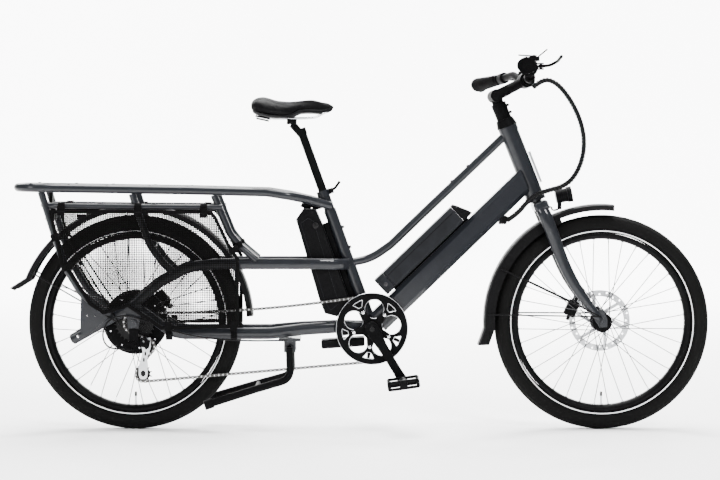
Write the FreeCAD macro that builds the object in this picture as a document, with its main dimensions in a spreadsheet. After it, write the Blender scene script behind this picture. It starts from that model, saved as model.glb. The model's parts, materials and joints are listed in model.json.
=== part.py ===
import FreeCAD, Part
import Sketcher
import math
import os
import re

"""Long-tail electric cargo bicycle, as a parametric document.

Frame: X forward, Y to the rider's left, Z up, millimetres. The origin is on the floor, under the middle
of the bicycle's box. Every sub-part is one object of the document, and its Label is the name of its file.
The driving dimensions are in the sheet "dims". A size given as text is an expression in those names.
"""

Vec = FreeCAD.Vector
Place = FreeCAD.Placement
Turn = FreeCAD.Rotation
X, Y, Z = Vec(1, 0, 0), Vec(0, 1, 0), Vec(0, 0, 1)

DIMENSIONS = {
    # wheels
    "rear_axle_x": -659, "front_axle_x": 713, "axle_z": 315,
    "tyre_radius": 315, "tyre_section": 30, "casing": 4.5,
    "rim_inner": 244, "rim_outer": 262, "rim_half_width": 17.5,
    "spoke_count": 36, "spoke_radius": 1.0,
    "axle_radius": 6, "run_fit": 0.06,
    "front_flange": 29, "front_flange_y": 29, "front_dropout_y": 50,
    "motor_radius": 94, "motor_half_width": 22, "rear_dropout_y": 68,
    "rotor_radius": 90, "rotor_thick": 2.0, "front_rotor_y": 39, "rear_rotor_y": 42,
    # drivetrain
    "bb_x": 37, "bb_z": 299, "crank_length": 175, "crank_angle": 59, "pedal_tilt": 8,
    "chain_y": -46, "pitch": 12.7, "ring_teeth": 48, "cog_teeth": 15, "pulley_teeth": 11,
    "guard_radius": 106, "cog_step": 4.8,
    # main frame
    "seat_angle": 19.8, "seat_tube_length": 428, "seat_tube_radius": 18, "seat_neck_radius": 15.5,
    "post_radius": 12.7, "post_length": 350, "post_top": 622,
    "head_angle": 21.5, "rake": 46.5, "head_low": 402, "head_length": 234, "head_radius": 29,
    "steerer_radius": 14.3, "top_tube_radius": 12, "down_tube_angle": 44,
    "down_tube_height": 66, "down_tube_width": 70, "down_wall": 3,
    # rear frame and deck
    "stay_y": 62, "apex_x": -664, "apex_z": 366, "hitch_x": -820,
    "hitch_z": 278, "hitch_bolt": 5, "chainstay_z": 286, "deck_y": 80, "deck_rear_x": -1015, "deck_front_x": -270,
    "deck_rear_z": 712, "deck_front_z": 698, "deck_radius": 12.5, "strut_radius": 10.5,
    "side_rail_y": 88, "side_rail_z": 655, "side_rail_radius": 8, "boss_bolt": 2.6, "boss_spacing": 90,
    # soft side guards, fenders
    "guard_cloth": 3, "guard_y": 101, "fender_radius": 345, "fender_skin": 2, "fender_half_width": 36,
    "front_skirt": 30,
    # batteries
    "battery_half_width": 42, "main_battery_length": 345, "main_battery_height": 56,
    # steering and controls
    "bar_twist": 9, "bar_radius": 11.1, "bar_clamp_radius": 15.9, "bar_half_width": 328, "stem_reach": 104,
    "stem_rise_angle": 27, "stem_pivot": 733, "grip_radius": 16,
    # stand
    "stand_x": -201, "stand_z": 153, "stand_leg_radius": 11,
}

doc = FreeCAD.newDocument("cargo_bicycle")
sheet = doc.addObject("Spreadsheet::Sheet", "dims")
for row, (alias, value) in enumerate(DIMENSIONS.items(), start=1):
    sheet.set(f"A{row}", alias)
    sheet.set(f"B{row}", str(value))
    sheet.setAlias(f"B{row}", alias)
doc.recompute()

parts = {}


def size(expression):
    """The value of a number, or of an expression in the sheet's names."""
    return float(sheet.evalExpression(str(expression)))


def bind(obj, **sizes):
    """Binds the object's properties to expressions in the sheet's names."""
    for prop, expression in sizes.items():
        named = re.sub(r"[a-z_]+", lambda m: "dims." + m.group() if m.group() in DIMENSIONS else m.group(),
                       str(expression))
        obj.setExpression(prop, named)


def keep(obj, label, placement=None):
    """Names a finished sub-part, and moves it by a placement on top of its own."""
    obj.Label = label
    if placement is not None:
        obj.Placement = placement.multiply(obj.Placement)
    parts[label] = obj
    return obj


# ---------------------------------------------------------------- primitives and booleans


def rod(radius, length, start, direction):
    """A cylinder from a point along a direction."""
    obj = doc.addObject("Part::Cylinder", "rod")
    bind(obj, Radius=radius, Height=length)
    obj.Placement = Place(start, Turn(Z, direction))
    return obj


def rod_across(radius, length, centre, direction):
    """A cylinder centred on a point."""
    along = Vec(direction).normalize()
    return rod(radius, length, centre - along * (size(length) / 2), along)


def cone(radius_start, radius_end, length, start, direction):
    obj = doc.addObject("Part::Cone", "cone")
    bind(obj, Radius1=radius_start, Radius2=radius_end, Height=length)
    obj.Placement = Place(start, Turn(Z, direction))
    return obj


def torus(ring_radius, section_radius, centre):
    """A torus about the Y direction."""
    obj = doc.addObject("Part::Torus", "torus")
    bind(obj, Radius1=ring_radius, Radius2=section_radius)
    obj.Placement = Place(centre, Turn(Z, Y))
    return obj


def block(length, width, height, centre, lean=0):
    """A box centred on a point and turned about Y by an angle in degrees."""
    obj = doc.addObject("Part::Box", "block")
    bind(obj, Length=length, Width=width, Height=height)
    turn = Turn(Y, lean)
    half = Vec(size(length) / 2, size(width) / 2, size(height) / 2)
    obj.Placement = Place(centre - turn.multVec(half), turn)
    return obj


def cut(base, *tools):
    """The base without its tools."""
    for tool in tools:
        made = doc.addObject("Part::Cut", "cut")
        made.Base, made.Tool = base, tool
        base = made
    return base


def fuse(*shapes):
    made = doc.addObject("Part::MultiFuse", "fuse")
    made.Shapes = list(shapes)
    made.Refine = False
    return made


def group(*shapes):
    """Separate solids in one sub-part."""
    made = doc.addObject("Part::Compound", "group")
    made.Links = list(shapes)
    return made


def rounded(obj, radius, edges=None):
    """The object with its edges rounded, all of them or those that the test accepts."""
    doc.recompute()
    chosen = [n for n, edge in enumerate(obj.Shape.Edges, start=1) if edges is None or edges(edge)]
    made = doc.addObject("Part::Fillet", "rounded")
    made.Base = obj
    made.Edges = [(n, size(radius), size(radius)) for n in chosen]
    return made


def made_by(shape, name="shape"):
    """A feature whose shape is worked out with Part's own functions."""
    obj = doc.addObject("Part::Feature", name)
    obj.Shape = shape
    return obj


# ---------------------------------------------------------------- sketched bodies


def sketch_in(body, role, corners):
    """A closed outline whose corners are held by expressions, on one of the body's own planes."""
    sketch = body.newObject("Sketcher::SketchObject", "outline")
    plane = [f for f in body.Origin.OriginFeatures if f.Role == role][0]
    sketch.AttachmentSupport = [(plane, "")]
    sketch.MapMode = "FlatFace"
    flat = [Vec(size(a), size(b), 0) for a, b in corners]
    count = len(flat)
    for i in range(count):
        sketch.addGeometry(Part.LineSegment(flat[i], flat[(i + 1) % count]), False)
    for i in range(count):
        sketch.addConstraint(Sketcher.Constraint("Coincident", i, 2, (i + 1) % count, 1))
    for i, (a, b) in enumerate(corners):
        across = sketch.addConstraint(Sketcher.Constraint("DistanceX", -1, 1, i, 1, flat[i].x))
        up = sketch.addConstraint(Sketcher.Constraint("DistanceY", -1, 1, i, 1, flat[i].y))
        bind(sketch, **{f"Constraints[{across}]": a, f"Constraints[{up}]": b})
    return sketch


def turned(corners, centre, axis=Y, angle=360):
    """A body of revolution. Each corner is (distance from the axis, place along the axis)."""
    body = doc.addObject("PartDesign::Body", "turned")
    sketch = sketch_in(body, "XY_Plane", corners)
    feature = body.newObject("PartDesign::Revolution", "revolution")
    feature.Profile = sketch
    spin = [f for f in body.Origin.OriginFeatures if f.Role == "Y_Axis"][0]
    feature.ReferenceAxis = (spin, [""])
    feature.Angle = angle
    body.Placement = Place(centre, Turn(Y, axis))
    return body


def plate(corners, thickness, centre, lean=0):
    """A flat piece. Its corners are (along X, along Z) from the centre, and it is as thick along Y."""
    body = doc.addObject("PartDesign::Body", "plate")
    sketch = sketch_in(body, "XZ_Plane", corners)
    feature = body.newObject("PartDesign::Pad", "pad")
    feature.Profile = sketch
    feature.Midplane = True
    bind(feature, Length=thickness)
    body.Placement = Place(centre, Turn(Y, lean))
    return body


# ---------------------------------------------------------------- bent tubes


def rounded_path(points, bend):
    """Straight runs through the points, joined by tangent arcs of the bend radius where there is room."""
    edges, last = [], points[0]
    for before, corner, after in zip(points, points[1:], points[2:]):
        back, ahead = (before - corner), (after - corner)
        room = 0.49 * min(back.Length, ahead.Length)
        back.normalize()
        ahead.normalize()
        half_turn = (math.pi - back.getAngle(ahead)) / 2
        reach = min(bend * math.tan(half_turn), room)
        radius = reach / math.tan(half_turn)
        start, end = corner + back * reach, corner + ahead * reach
        inward = (back + ahead).normalize()
        middle = corner + inward * (radius / math.cos(half_turn) - radius)
        if (start - last).Length > 1e-6:
            edges.append(Part.LineSegment(last, start).toShape())
        edges.append(Part.Arc(start, middle, end).toShape())
        last = end
    edges.append(Part.LineSegment(last, points[-1]).toShape())
    return Part.Wire(edges)


def bent(points, bend, width, height=None):
    """A bent bar, round, or oval when it has a height: its width is along Y and its height across the run."""
    path = rounded_path(points, bend)
    ahead = (points[1] - points[0]).normalize()
    if height is None:
        section = Part.Circle(points[0], ahead, width / 2).toShape()
    else:
        upright = ahead.cross(Y).normalize()
        tall, broad = upright * (height / 2), Y * (width / 2)
        section = Part.Ellipse(points[0] + tall, points[0] + broad, points[0]).toShape()
    return path.makePipeShell([Part.Wire([section])], True, False)


def fused(shapes):
    """One solid from overlapping solids."""
    return shapes[0].multiFuse(shapes[1:]).removeSplitter()


def flip(point):
    return Vec(point.x, -point.y, point.z)


def at(x, z, y=0.0):
    """A point of the bicycle, in the order that its side view is read."""
    return Vec(x, y, z)


def both_sides(points, bend, width, height=None):
    """The same bent tube on the right and the left."""
    right = [flip(p) for p in points]
    return [bent(right, bend, width, height), bent(points, bend, width, height)]


def solid_between(start, end, radius):
    return Part.makeCylinder(radius, (end - start).Length, start, end - start)


# ---------------------------------------------------------------- places that many parts share

rear_axle = at(size("rear_axle_x"), size("axle_z"))
front_axle = at(size("front_axle_x"), size("axle_z"))
bottom_bracket = at(size("bb_x"), size("bb_z"))

lean = math.radians(size("seat_angle"))
seat_up = Vec(-math.sin(lean), 0, math.cos(lean))
seat_back = Vec(-math.cos(lean), 0, -math.sin(lean))

slack = math.radians(size("head_angle"))
steer_up = Vec(-math.sin(slack), 0, math.cos(slack))
steer_ahead = Vec(math.cos(slack), 0, math.sin(slack))
steer_foot = front_axle - steer_ahead * size("rake")

dive = math.radians(size("down_tube_angle"))
down_up = Vec(math.cos(dive), 0, math.sin(dive))
down_over = Vec(-math.sin(dive), 0, math.cos(dive))


def on_seat(along, back=0.0, side=0.0):
    """A point by its distance along the seat tube from the bottom bracket, behind it and to the left."""
    return bottom_bracket + seat_up * along + seat_back * back + Y * side


def on_steer(along, ahead=0.0, side=0.0):
    """A point by its distance along the steering axis from the foot of the front axle, ahead and left."""
    return steer_foot + steer_up * along + steer_ahead * ahead + Y * side


def on_down(along, over=0.0, side=0.0):
    """A point by its distance along the down tube's middle line, above it and to the left."""
    return down_start + down_up * along + down_over * over + Y * side


down_start = at(96, 355)
head_low, head_top = size("head_low"), size("head_low + head_length")

# ---------------------------------------------------------------- main frame

head_radius, steerer_radius = size("head_radius"), size("steerer_radius")
head_tube = cut(fuse(rod("head_radius - 2", "head_length", on_steer(head_low), steer_up),
                     rod("head_radius", 16, on_steer(head_low), steer_up),
                     rod("head_radius", 16, on_steer(head_top - 16), steer_up)),
                rod("steerer_radius + run_fit", "head_length + 2", on_steer(head_low - 1), steer_up))
keep(head_tube, "head_tube")

down_low, down_high = -58, 580
half_height, half_width = size("down_tube_height / 2"), size("down_tube_width / 2")
bevel = 12


def box_section(half_high, half_wide, corner):
    """An eight-sided section, as (over, side) from its middle."""
    return [(-half_high, -half_wide + corner), (-half_high + corner, -half_wide),
            (half_high - corner, -half_wide), (half_high, -half_wide + corner),
            (half_high, half_wide - corner), (half_high - corner, half_wide),
            (-half_high + corner, half_wide), (-half_high, half_wide - corner)]


def extruded_on_down(section, start, length):
    """A prism along the down tube."""
    points = [on_down(start, over, side) for over, side in section]
    face = Part.Face(Part.makePolygon(points + points[:1]))
    return face.extrude(down_up * length)


wall = size("down_wall")
tube_skin = extruded_on_down(box_section(half_height, half_width, bevel), down_low, down_high - down_low)
tube_core = extruded_on_down(box_section(half_height - wall, half_width - wall, bevel - 1),
                             down_low + wall, down_high - down_low)
head_room = solid_between(on_steer(head_low - 20), on_steer(head_top + 20), head_radius - 2)
ahead_room = Part.makeBox(200, 200, 400, Vec(0, -100, -200))
ahead_room.Placement = Place(on_steer(head_low + 60, -12), Turn(Y, -size("head_angle")))
shell_room = solid_between(bottom_bracket - Y * 40, bottom_bracket + Y * 40, 23)
gland_way = (down_up * 0.6 - down_over * 0.8).normalize()
gland_foot = on_down(412, -half_height, -12)
gland_tip = gland_foot + gland_way * 20
cable_gland = solid_between(gland_foot - gland_way * 4, gland_foot + gland_way * 13.4, 9).fuse(
    solid_between(gland_foot - gland_way * 4, gland_foot + gland_way * 8, 12))
hollow_tube = tube_skin.cut([tube_core, head_room, ahead_room, shell_room])
keep(made_by(hollow_tube.fuse(cable_gland).removeSplitter()), "down_tube")

top_tube_path = [at(-27, 489), at(34, 501), at(92, 541), at(179, 625), at(300, 740), at(425, 859)]
top_tube = bent(top_tube_path, 150, 2 * size("top_tube_radius"))
seat_room = solid_between(on_seat(0), on_seat(500), size("seat_tube_radius"))
keep(made_by(top_tube.cut([head_room, seat_room])), "top_tube")

seat_length = size("seat_tube_length")
seat_tube = cut(fuse(rod("seat_tube_radius", "seat_tube_length - 60", on_seat(0), seat_up),
                     rod("seat_neck_radius", 62, on_seat(seat_length - 62), seat_up),
                     rod_across(23, 73, bottom_bracket, Y)),
                rod("post_radius + run_fit", "seat_tube_length", on_seat(40), seat_up),
                rod_across("8.5 + run_fit", 75, bottom_bracket, Y))
keep(seat_tube, "seat_tube")

# ---------------------------------------------------------------- rear frame and deck

stay_y, deck_y = size("stay_y"), size("deck_y")
apex = at(size("apex_x"), size("apex_z"), stay_y)
hitch = at(size("hitch_x"), size("hitch_z"), stay_y)
mid_stay = [at(-30, 486, 19), at(-62, 487, 52), at(-120, 489, stay_y), at(-420, 489, stay_y), at(-500, 480, stay_y),
            at(-590, 432, stay_y), apex, hitch + (hitch - apex).normalize() * 17]
stays = [tube.cut(solid_between(on_seat(0), on_seat(seat_length), size("seat_tube_radius")))
         for tube in both_sides(mid_stay, 120, 20, 32)]
hitch_hole = solid_between(hitch - Y * 200, hitch + Y * 60, size("hitch_bolt"))
keep(made_by(Part.Compound([tube.cut(hitch_hole) for tube in stays])), "mid_stays")

low_z = size("chainstay_z")
chainstay = [at(30, 300, 16), at(-70, 301, 27), at(-165, 296, 44), at(-260, low_z, stay_y),
             at(-540, low_z, stay_y), at(-636, 357, stay_y)]
stand_x, stand_z = size("stand_x"), size("stand_z")
stand_pivot = at(stand_x - 3, 246)
bracket_top = block(64, 92, 8, at(stand_pivot.x, 265))
cheeks = [cut(block(34, 6, 34, stand_pivot + Vec(0, side, -1)), rod_across("6 + run_fit", 90, stand_pivot, Y))
          for side in (-34, 34)]
right_leg, left_leg = [tube.cut(shell_room) for tube in both_sides(chainstay, 110, 20, 34)]
cable_stop = solid_between(at(-192, 268, -80), at(-210, 268, -80), 5)
stop_foot = Part.makeBox(14, 24, 12, at(-208, 262, -82))
legs = [fused([right_leg, cable_stop, stop_foot]), left_leg]
keep(group(made_by(Part.Compound(legs)), bracket_top, *cheeks), "chainstays")

dropout_y = size("rear_dropout_y")
dropout_outline = [(-24, 54), (24, 58), (20, 16), (15, -14), (8, -28), (-8, -28), (-15, -14), (-17, 12)]
gusset_outline = [(-152, 90), (-154, -24), (-130, -34), (-64, 28), (-74, 42)]


def dropout(side):
    """The plate that holds the axle, and the gusset that braces the strut, with its two rack holes."""
    middle = rear_axle + Y * (side * (dropout_y + 4))
    axle_plate = cut(plate(dropout_outline, 8, middle),
                     block(11, 10, 60, middle + Z * -34),
                     rod_across("axle_radius", 10, middle, Y))
    gusset = cut(plate(gusset_outline, 8, middle),
                 rod_across("boss_bolt", 10, at(-792, 339, middle.y), Y),
                 rod_across("boss_bolt", 10, at(-770, 339, middle.y), Y))
    return [axle_plate, gusset]


rear_axle_rod = rod_across("axle_radius", 2 * dropout_y + 44, rear_axle, Y)
rear_nuts = [rod(12, 12, rear_axle + Y * side, Y) for side in (-(dropout_y + 20), dropout_y + 8)]
keep(fuse(*dropout(-1), *dropout(1), rear_axle_rod, *rear_nuts), "rear_dropouts")

rear_x, front_x = size("deck_rear_x"), size("deck_front_x")
rear_z, front_z = size("deck_rear_z"), size("deck_front_z")
rail = size("deck_radius")
left_rail = [at(-84, 657, 21), at(-150, 676, 48), at(-206, 688, deck_y), at(front_x, front_z, deck_y),
             at(-500, 704, deck_y), at(rear_x + rail, rear_z, deck_y)]
deck_loop = bent(left_rail + [flip(p) for p in reversed(left_rail)], 62, 2 * rail)


def deck_height(x):
    """The height of the deck rails' middle line at a place along the bicycle."""
    share = (front_x - x) / (front_x - rear_x)
    return front_z + (rear_z - front_z) * share


crossbar_places = [-956, -870, -760, -600, -430, -280]
crossbars = [rod_across("deck_radius - 3", 2 * deck_y - 2 * rail + 8, at(x, deck_height(x)), Y)
             for x in crossbar_places]
seat_room = solid_between(on_seat(0), on_seat(seat_length), size("seat_neck_radius"))
keep(group(made_by(deck_loop.cut(seat_room)), *crossbars), "deck_frame")

side_y, side_z = size("side_rail_y"), size("side_rail_z")
left_side_rail = [at(-399, side_z, side_y - 6), at(-440, side_z, side_y), at(-680, side_z + 2, side_y),
                  at(-927, side_z + 5, side_y)]
side_loop = bent(left_side_rail + [flip(p) for p in reversed(left_side_rail)], 60, 2 * size("side_rail_radius"))
keep(made_by(side_loop), "lower_rail")

strut = 2 * size("strut_radius")
rear_strut = [at(-927, 700, 76), at(-884, 560, 74), at(-854, 476, 74), at(-810, 403, 74), at(-744, 352, 76)]
middle_strut = [at(-662, 694, 76), at(-640, 625, 72), at(-612, 545, 68), at(-575, 494, 66), at(-545, 466, 64)]
front_strut = [at(-423, 690, 76), at(-402, 636, 72), at(-378, 577, 68), at(-344, 537, 66), at(-300, 500, 64)]
struts = []
for route in (rear_strut, middle_strut, front_strut):
    struts += both_sides(route, 90, strut)
keep(made_by(Part.Compound(struts)), "deck_struts")

# ---------------------------------------------------------------- fixings on the frame

battery_over = half_height + 6.3
rail_on_down = block(300, 34, 6, on_down(195, half_height + 3), -size("down_tube_angle"))
rail_on_seat = block(16, 30, 270, on_seat(200, size("seat_tube_radius") + 7), -size("seat_angle"))
rail_seated = cut(rail_on_seat, rod("seat_tube_radius", "seat_tube_length - 60", on_seat(0), seat_up))
keep(group(rail_on_down, rail_seated), "battery_rails")

bosses = size("boss_spacing / 2")
rack_centre = on_steer(head_low + 95, head_radius + 3)
rack_holes = [rod(size("boss_bolt"), 20, rack_centre + steer_up * place - steer_ahead * 10, steer_ahead)
              for place in (-bosses / 2, bosses / 2)]
rack_plate = cut(block(6, 44, 96, rack_centre, -size("head_angle")), *rack_holes)
keep(rack_plate, "front_rack_plate")

controller = rounded(block(128, 62, 26, at(-48, 254), -4), 6)
keep(controller, "controller_housing")

lamp_at = at(-906, 634)
lamp = cut(rounded(block(26, 92, 44, lamp_at, 8), 8), block(8, 70, 26, lamp_at - X * 12, 8))
lamp_glass = rounded(block(7, 68, 24, lamp_at - X * 9, 8), 3)
lamp_arm = block(10, 20, 44, at(-908, 676))
keep(group(lamp, lamp_glass, lamp_arm), "tail_light")


# ---------------------------------------------------------------- fenders and side guards


def arc_point(centre, radius, degrees):
    """A point on a circle in the side view, with the angle up from straight ahead."""
    angle = math.radians(degrees)
    return centre + Vec(math.cos(angle), 0, math.sin(angle)) * radius


def fender(centre, start, end, half, skirt=16):
    """A curved skin around a wheel, with sides that turn down as deep as its skirt."""
    inner, skin = size("fender_radius"), size("fender_skin")
    profile = [(inner - skirt, -half), (inner - 4, -half + 3), (inner, -half + 12), (inner, half - 12),
               (inner - 4, half - 3), (inner - skirt, half), (inner - skirt, half + skin),
               (inner - 4 + skin, half - 2), (inner + skin, half - 11), (inner + skin, -half + 11),
               (inner - 4 + skin, -half + 2), (inner - skirt, -half - skin)]
    low = arc_point(Vec(), 1, start)
    face = Part.Face(Part.makePolygon([centre + low * r + Y * side for r, side in profile + profile[:1]]))
    return face.revolve(centre, -Y, end - start)


half = size("fender_half_width")


def flap(centre, end, way, skirt=16):
    """The fender's last stretch, which runs straight out from its end."""
    ends = fender(centre, end - 1, end, half, skirt)
    plane = arc_point(Vec(), 1, end).cross(Y)
    last = min(ends.Faces, key=lambda face: (face.CenterOfMass - centre).normalize().dot(plane) ** 2
               + abs(1 - abs(face.normalAt(0, 0).dot(plane))))
    return last.extrude(way)


rear_skin = fused([fender(rear_axle, 3, 158, half), flap(rear_axle, 158, Vec(-46, 0, -29))])


def stay_wires(centre, degrees, reach, foot, spread):
    """Thin wire stays from a foot near the axle to both edges of the fender."""
    tip = arc_point(centre, reach, degrees)
    return [solid_between(Vec(foot.x, side * foot.y, foot.z), Vec(tip.x, side * spread, tip.z), 2.2)
            for side in (-1, 1)]


rear_foot = at(-700, 318, 80)
rear_wires = [wire for degrees in (154, 128) for wire in stay_wires(rear_axle, degrees, 338, rear_foot, half + 4)]
keep(made_by(Part.Compound([rear_skin] + rear_wires)), "rear_fender")

guard_outline = [(-902, 648), (-430, 646), (-414, 628), (-378, 552), (-349, 507), (-349, 306), (-574, 300),
                 (-672, 365), (-742, 344), (-785, 372), (-842, 460), (-868, 490)]
for label, side in (("right_side_guard", -1), ("left_side_guard", 1)):
    keep(plate(guard_outline, "guard_cloth", Y * (side * size("guard_y"))), label)

# ---------------------------------------------------------------- steering

crown = head_low - 4
leg_route = [on_steer(crown - 8, 2, 40), on_steer(crown - 40, 4, 52), on_steer(crown - 110, 4, 54),
             on_steer(150, 8, 55), on_steer(60, 28, 55), on_steer(14, 41, 55)]
leg_sections = [(36, 24), (38, 26), (37, 25), (32, 22), (26, 18), (20, 14)]


def fork_leg(side):
    """A leg that leans forward and thins towards the axle, lofted through ovals."""
    wires = []
    for place, (long, wide) in zip(leg_route, leg_sections):
        centre = Vec(place.x, side * place.y, place.z)
        oval = Part.Ellipse(centre + steer_ahead * (long / 2), centre + Y * (wide / 2), centre)
        wires.append(Part.Wire([oval.toShape()]))
    return Part.makeLoft(wires, True, False)


crown_block = Part.makeBox(44, 116, 26, Vec(-22, -58, -26))
crown_block.Placement = Place(on_steer(crown, 4), Turn(Y, -size("head_angle")))
crown_block = crown_block.makeFillet(8, crown_block.Edges)
steerer = solid_between(on_steer(crown - 4), on_steer(head_top + 40), steerer_radius)
tip_y = size("front_dropout_y")
dropout_tip = [(-4, 42), (-22, 10), (-12, -12), (10, -13), (14, 8), (6, 42)]
tips = [plate(dropout_tip, 6, front_axle + Y * (side * (tip_y + 3)), -8) for side in (-1, 1)]
doc.recompute()
axle_rod = solid_between(front_axle - Y * (tip_y + 16), front_axle + Y * (tip_y + 16), size("axle_radius"))
nuts = [solid_between(front_axle + Y * (side * (tip_y + 6)), front_axle + Y * (side * (tip_y + 14)), 10)
        for side in (-1, 1)]
fork = fused([crown_block, steerer, fork_leg(-1), fork_leg(1), axle_rod] + nuts + [tip.Shape for tip in tips])
keep(made_by(fork), "fork")

pivot_at = size("stem_pivot")
riser = cut(fuse(cone(31, 25, 24, on_steer(head_top + 0.4), steer_up),
                 rod(22, 50, on_steer(head_top + 24), steer_up),
                 rod_across(19, 40, on_steer(pivot_at), Y),
                 rod(17, pivot_at - head_top - 70, on_steer(head_top + 70), steer_up),
                 rod_across(4, 52, on_steer(head_top + 38, 20), Y),
                 rod_across(4, 52, on_steer(head_top + 60, 20), Y)),
            rod("steerer_radius", 60, on_steer(head_top - 10), steer_up))


front_foot = front_axle + Vec(-8, 64, 20)
front_wires = [wire for degrees in (176, 152)
               for wire in stay_wires(front_axle, degrees, 338, front_foot, half + 4)]
front_skirt = size("front_skirt")
front_skin = fused([fender(front_axle, 84, 112, half), fender(front_axle, 112, 183, half, front_skirt),
                    flap(front_axle, 183, Vec(-18, 0, -49), front_skirt)])
keep(made_by(Part.Compound([front_skin] + front_wires)), "front_fender")

lamp_centre = at(601, 687)
lamp_tilt = -11
lamp_axis = Turn(Y, lamp_tilt).multVec(X)
lamp_pivot = lamp_centre - lamp_axis * 16 - Turn(Y, lamp_tilt).multVec(Z) * 27
lamp_shell = cut(rod(20, 44, lamp_centre - lamp_axis * 22, lamp_axis),
                 rod(17, 16, lamp_centre + lamp_axis * 8, lamp_axis))
lamp_hood = cut(rod(23, 14, lamp_centre + lamp_axis * 12, lamp_axis),
                rod(20, 16, lamp_centre + lamp_axis * 11, lamp_axis))
lamp_lens = rod(17, 3, lamp_centre + lamp_axis * 16, lamp_axis)
lamp_lug = cut(block(12, 7, 16, lamp_pivot + Z * 3), rod_across("boss_bolt + run_fit", 10, lamp_pivot, Y))
keep(group(lamp_shell, lamp_hood, lamp_lens, lamp_lug), "headlight")

fork_front = on_steer(crown - 10, 24)
bracket_path = [fork_front + Z * -24, fork_front + Vec(16, 0, -10), at(lamp_pivot.x - 22, lamp_pivot.z - 16),
                lamp_pivot + Vec(-4, 0, -11)]
lamp_arms = [made_by(bent([p + Y * side for p in bracket_path], 20, 4.4)) for side in (-7, 7)]
lamp_ears = [block(11, 3, 16, lamp_pivot + Vec(0, side, -3.5)) for side in (-5.4, 5.4)]
lamp_pin = rod_across("boss_bolt", 14, lamp_pivot, Y)
keep(group(*lamp_arms, fuse(lamp_pin, *lamp_ears)), "headlight_bracket")


# ---------------------------------------------------------------- bars, turned in the clamp

twist = Place(Vec(), Turn(steer_up, size("bar_twist")), steer_foot)
rise = math.radians(size("stem_rise_angle"))
stem_pivot = on_steer(pivot_at)
stem_ahead = Vec(math.cos(rise), 0, math.sin(rise))
clamp = stem_pivot + stem_ahead * size("stem_reach")

arm_core = rod(15, size("stem_reach") - 42, stem_pivot + stem_ahead * 24, stem_ahead)
arm_cheeks = [cut(fuse(rod_across(19, 6, stem_pivot + Y * side, Y),
                       block(40, 6, 30, stem_pivot + stem_ahead * 18 + Y * side, -size("stem_rise_angle"))))
              for side in (-23.6, 23.6)]
arm_yoke = block(16, 53, 30, stem_pivot + stem_ahead * 32, -size("stem_rise_angle"))
pivot_room = rod_across(19.4, 40.6, stem_pivot, Y)
arm_clamp = rod_across(23, 46, clamp, Y)
stem_arm = cut(fuse(arm_core, *arm_cheeks, arm_yoke, arm_clamp), pivot_room,
               rod_across("bar_clamp_radius", 50, clamp, Y))
keep(riser, "stem_riser", twist)
keep(stem_arm, "stem_arm", twist)

bar_end = clamp + Vec(-68, size("bar_half_width"), 10)
bar_bend = clamp + Vec(-14, 104, 26)
bar_route = [clamp, clamp + Y * 46, bar_bend, bar_end]
bar_run = (bar_end - bar_bend).normalize()
right_half = bent([flip(p) for p in bar_route], 60, 2 * size("bar_radius"))
left_half = bent(bar_route, 60, 2 * size("bar_radius"))
bulge = solid_between(clamp - Y * 30, clamp + Y * 30, size("bar_clamp_radius"))
keep(made_by(fused([left_half, right_half, bulge])), "handlebar", twist)


def on_bar(from_end, side, ahead=0.0, over=0.0):
    """A point by its distance in from the end of the bar, ahead of it and above it."""
    place = bar_end - bar_run * from_end
    across = bar_run.cross(Z).normalize()
    point = place + across * ahead + across.cross(bar_run) * -over
    return Vec(point.x, side * point.y, point.z)


def run_of(side):
    return Vec(bar_run.x, side * bar_run.y, bar_run.z)


def grip(side, inner, outer, bore):
    """A soft sleeve on the bar with a rest for the palm behind it."""
    length = inner - outer
    sleeve = rod("grip_radius", length, on_bar(inner, side), run_of(side))
    palm = made_by(Part.makeLoft([Part.Wire([Part.Ellipse(
        on_bar(place, side, -8, -3) - X * wide, on_bar(place, side, -8, -3) + Z * high,
        on_bar(place, side, -8, -3)).toShape()]) for place, wide, high in
        ((inner - 8, 13, 12), (inner - length * 0.45, 20, 16), (outer + 4, 25, 22))], True, False))
    ring = rod(19, 5, on_bar(outer + 5, side), run_of(side))
    end_face = rod(19, 2.5, on_bar(0, side), run_of(side))
    bore_tool = rod(bore, length + 10, on_bar(inner + 5, side), run_of(side))
    return fuse(cut(fuse(sleeve, palm, ring), bore_tool), end_face)


keep(grip(1, 136, 0, "bar_radius"), "left_grip", twist)
keep(grip(-1, 84, 0, "bar_radius"), "right_grip", twist)
throttle = cut(fuse(rod(16.5, 44, on_bar(130, -1), run_of(-1)), rod(26, 3, on_bar(130, -1), run_of(-1)),
                    *[rod(2.4, 40, on_bar(128, -1, 15.6 * math.cos(turn), 15.6 * math.sin(turn)), run_of(-1))
                      for turn in (math.pi * n / 4 for n in range(8))]),
               rod("bar_radius + run_fit", 60, on_bar(140, -1), run_of(-1)))
keep(throttle, "throttle", twist)


def lever_pivot(side):
    return on_bar(158, side, 34, -4)


def perch(side):
    """A clamp on the bar with two lugs that hold a brake lever's pin."""
    body = cut(fuse(rod(17, 22, on_bar(170, side), run_of(side)),
                    rod_across(8, 16, on_bar(159, side, 20, -3), Z),
                    made_by(solid_between(on_bar(159, side, 12, -2), on_bar(159, side, 38, -4), 6))),
               rod("bar_radius", 30, on_bar(174, side), run_of(side)),
               rod_across(13.2, 12.4, lever_pivot(side), Z))
    lugs = cut(fuse(rod_across(9, 19, lever_pivot(side), Z), rod_across(8, 19, on_bar(158, side, 24, -4), Z)),
               rod_across(13.2, 12.4, lever_pivot(side), Z))
    return fuse(body, lugs, rod_across(2.6, 20, lever_pivot(side), Z))


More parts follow.
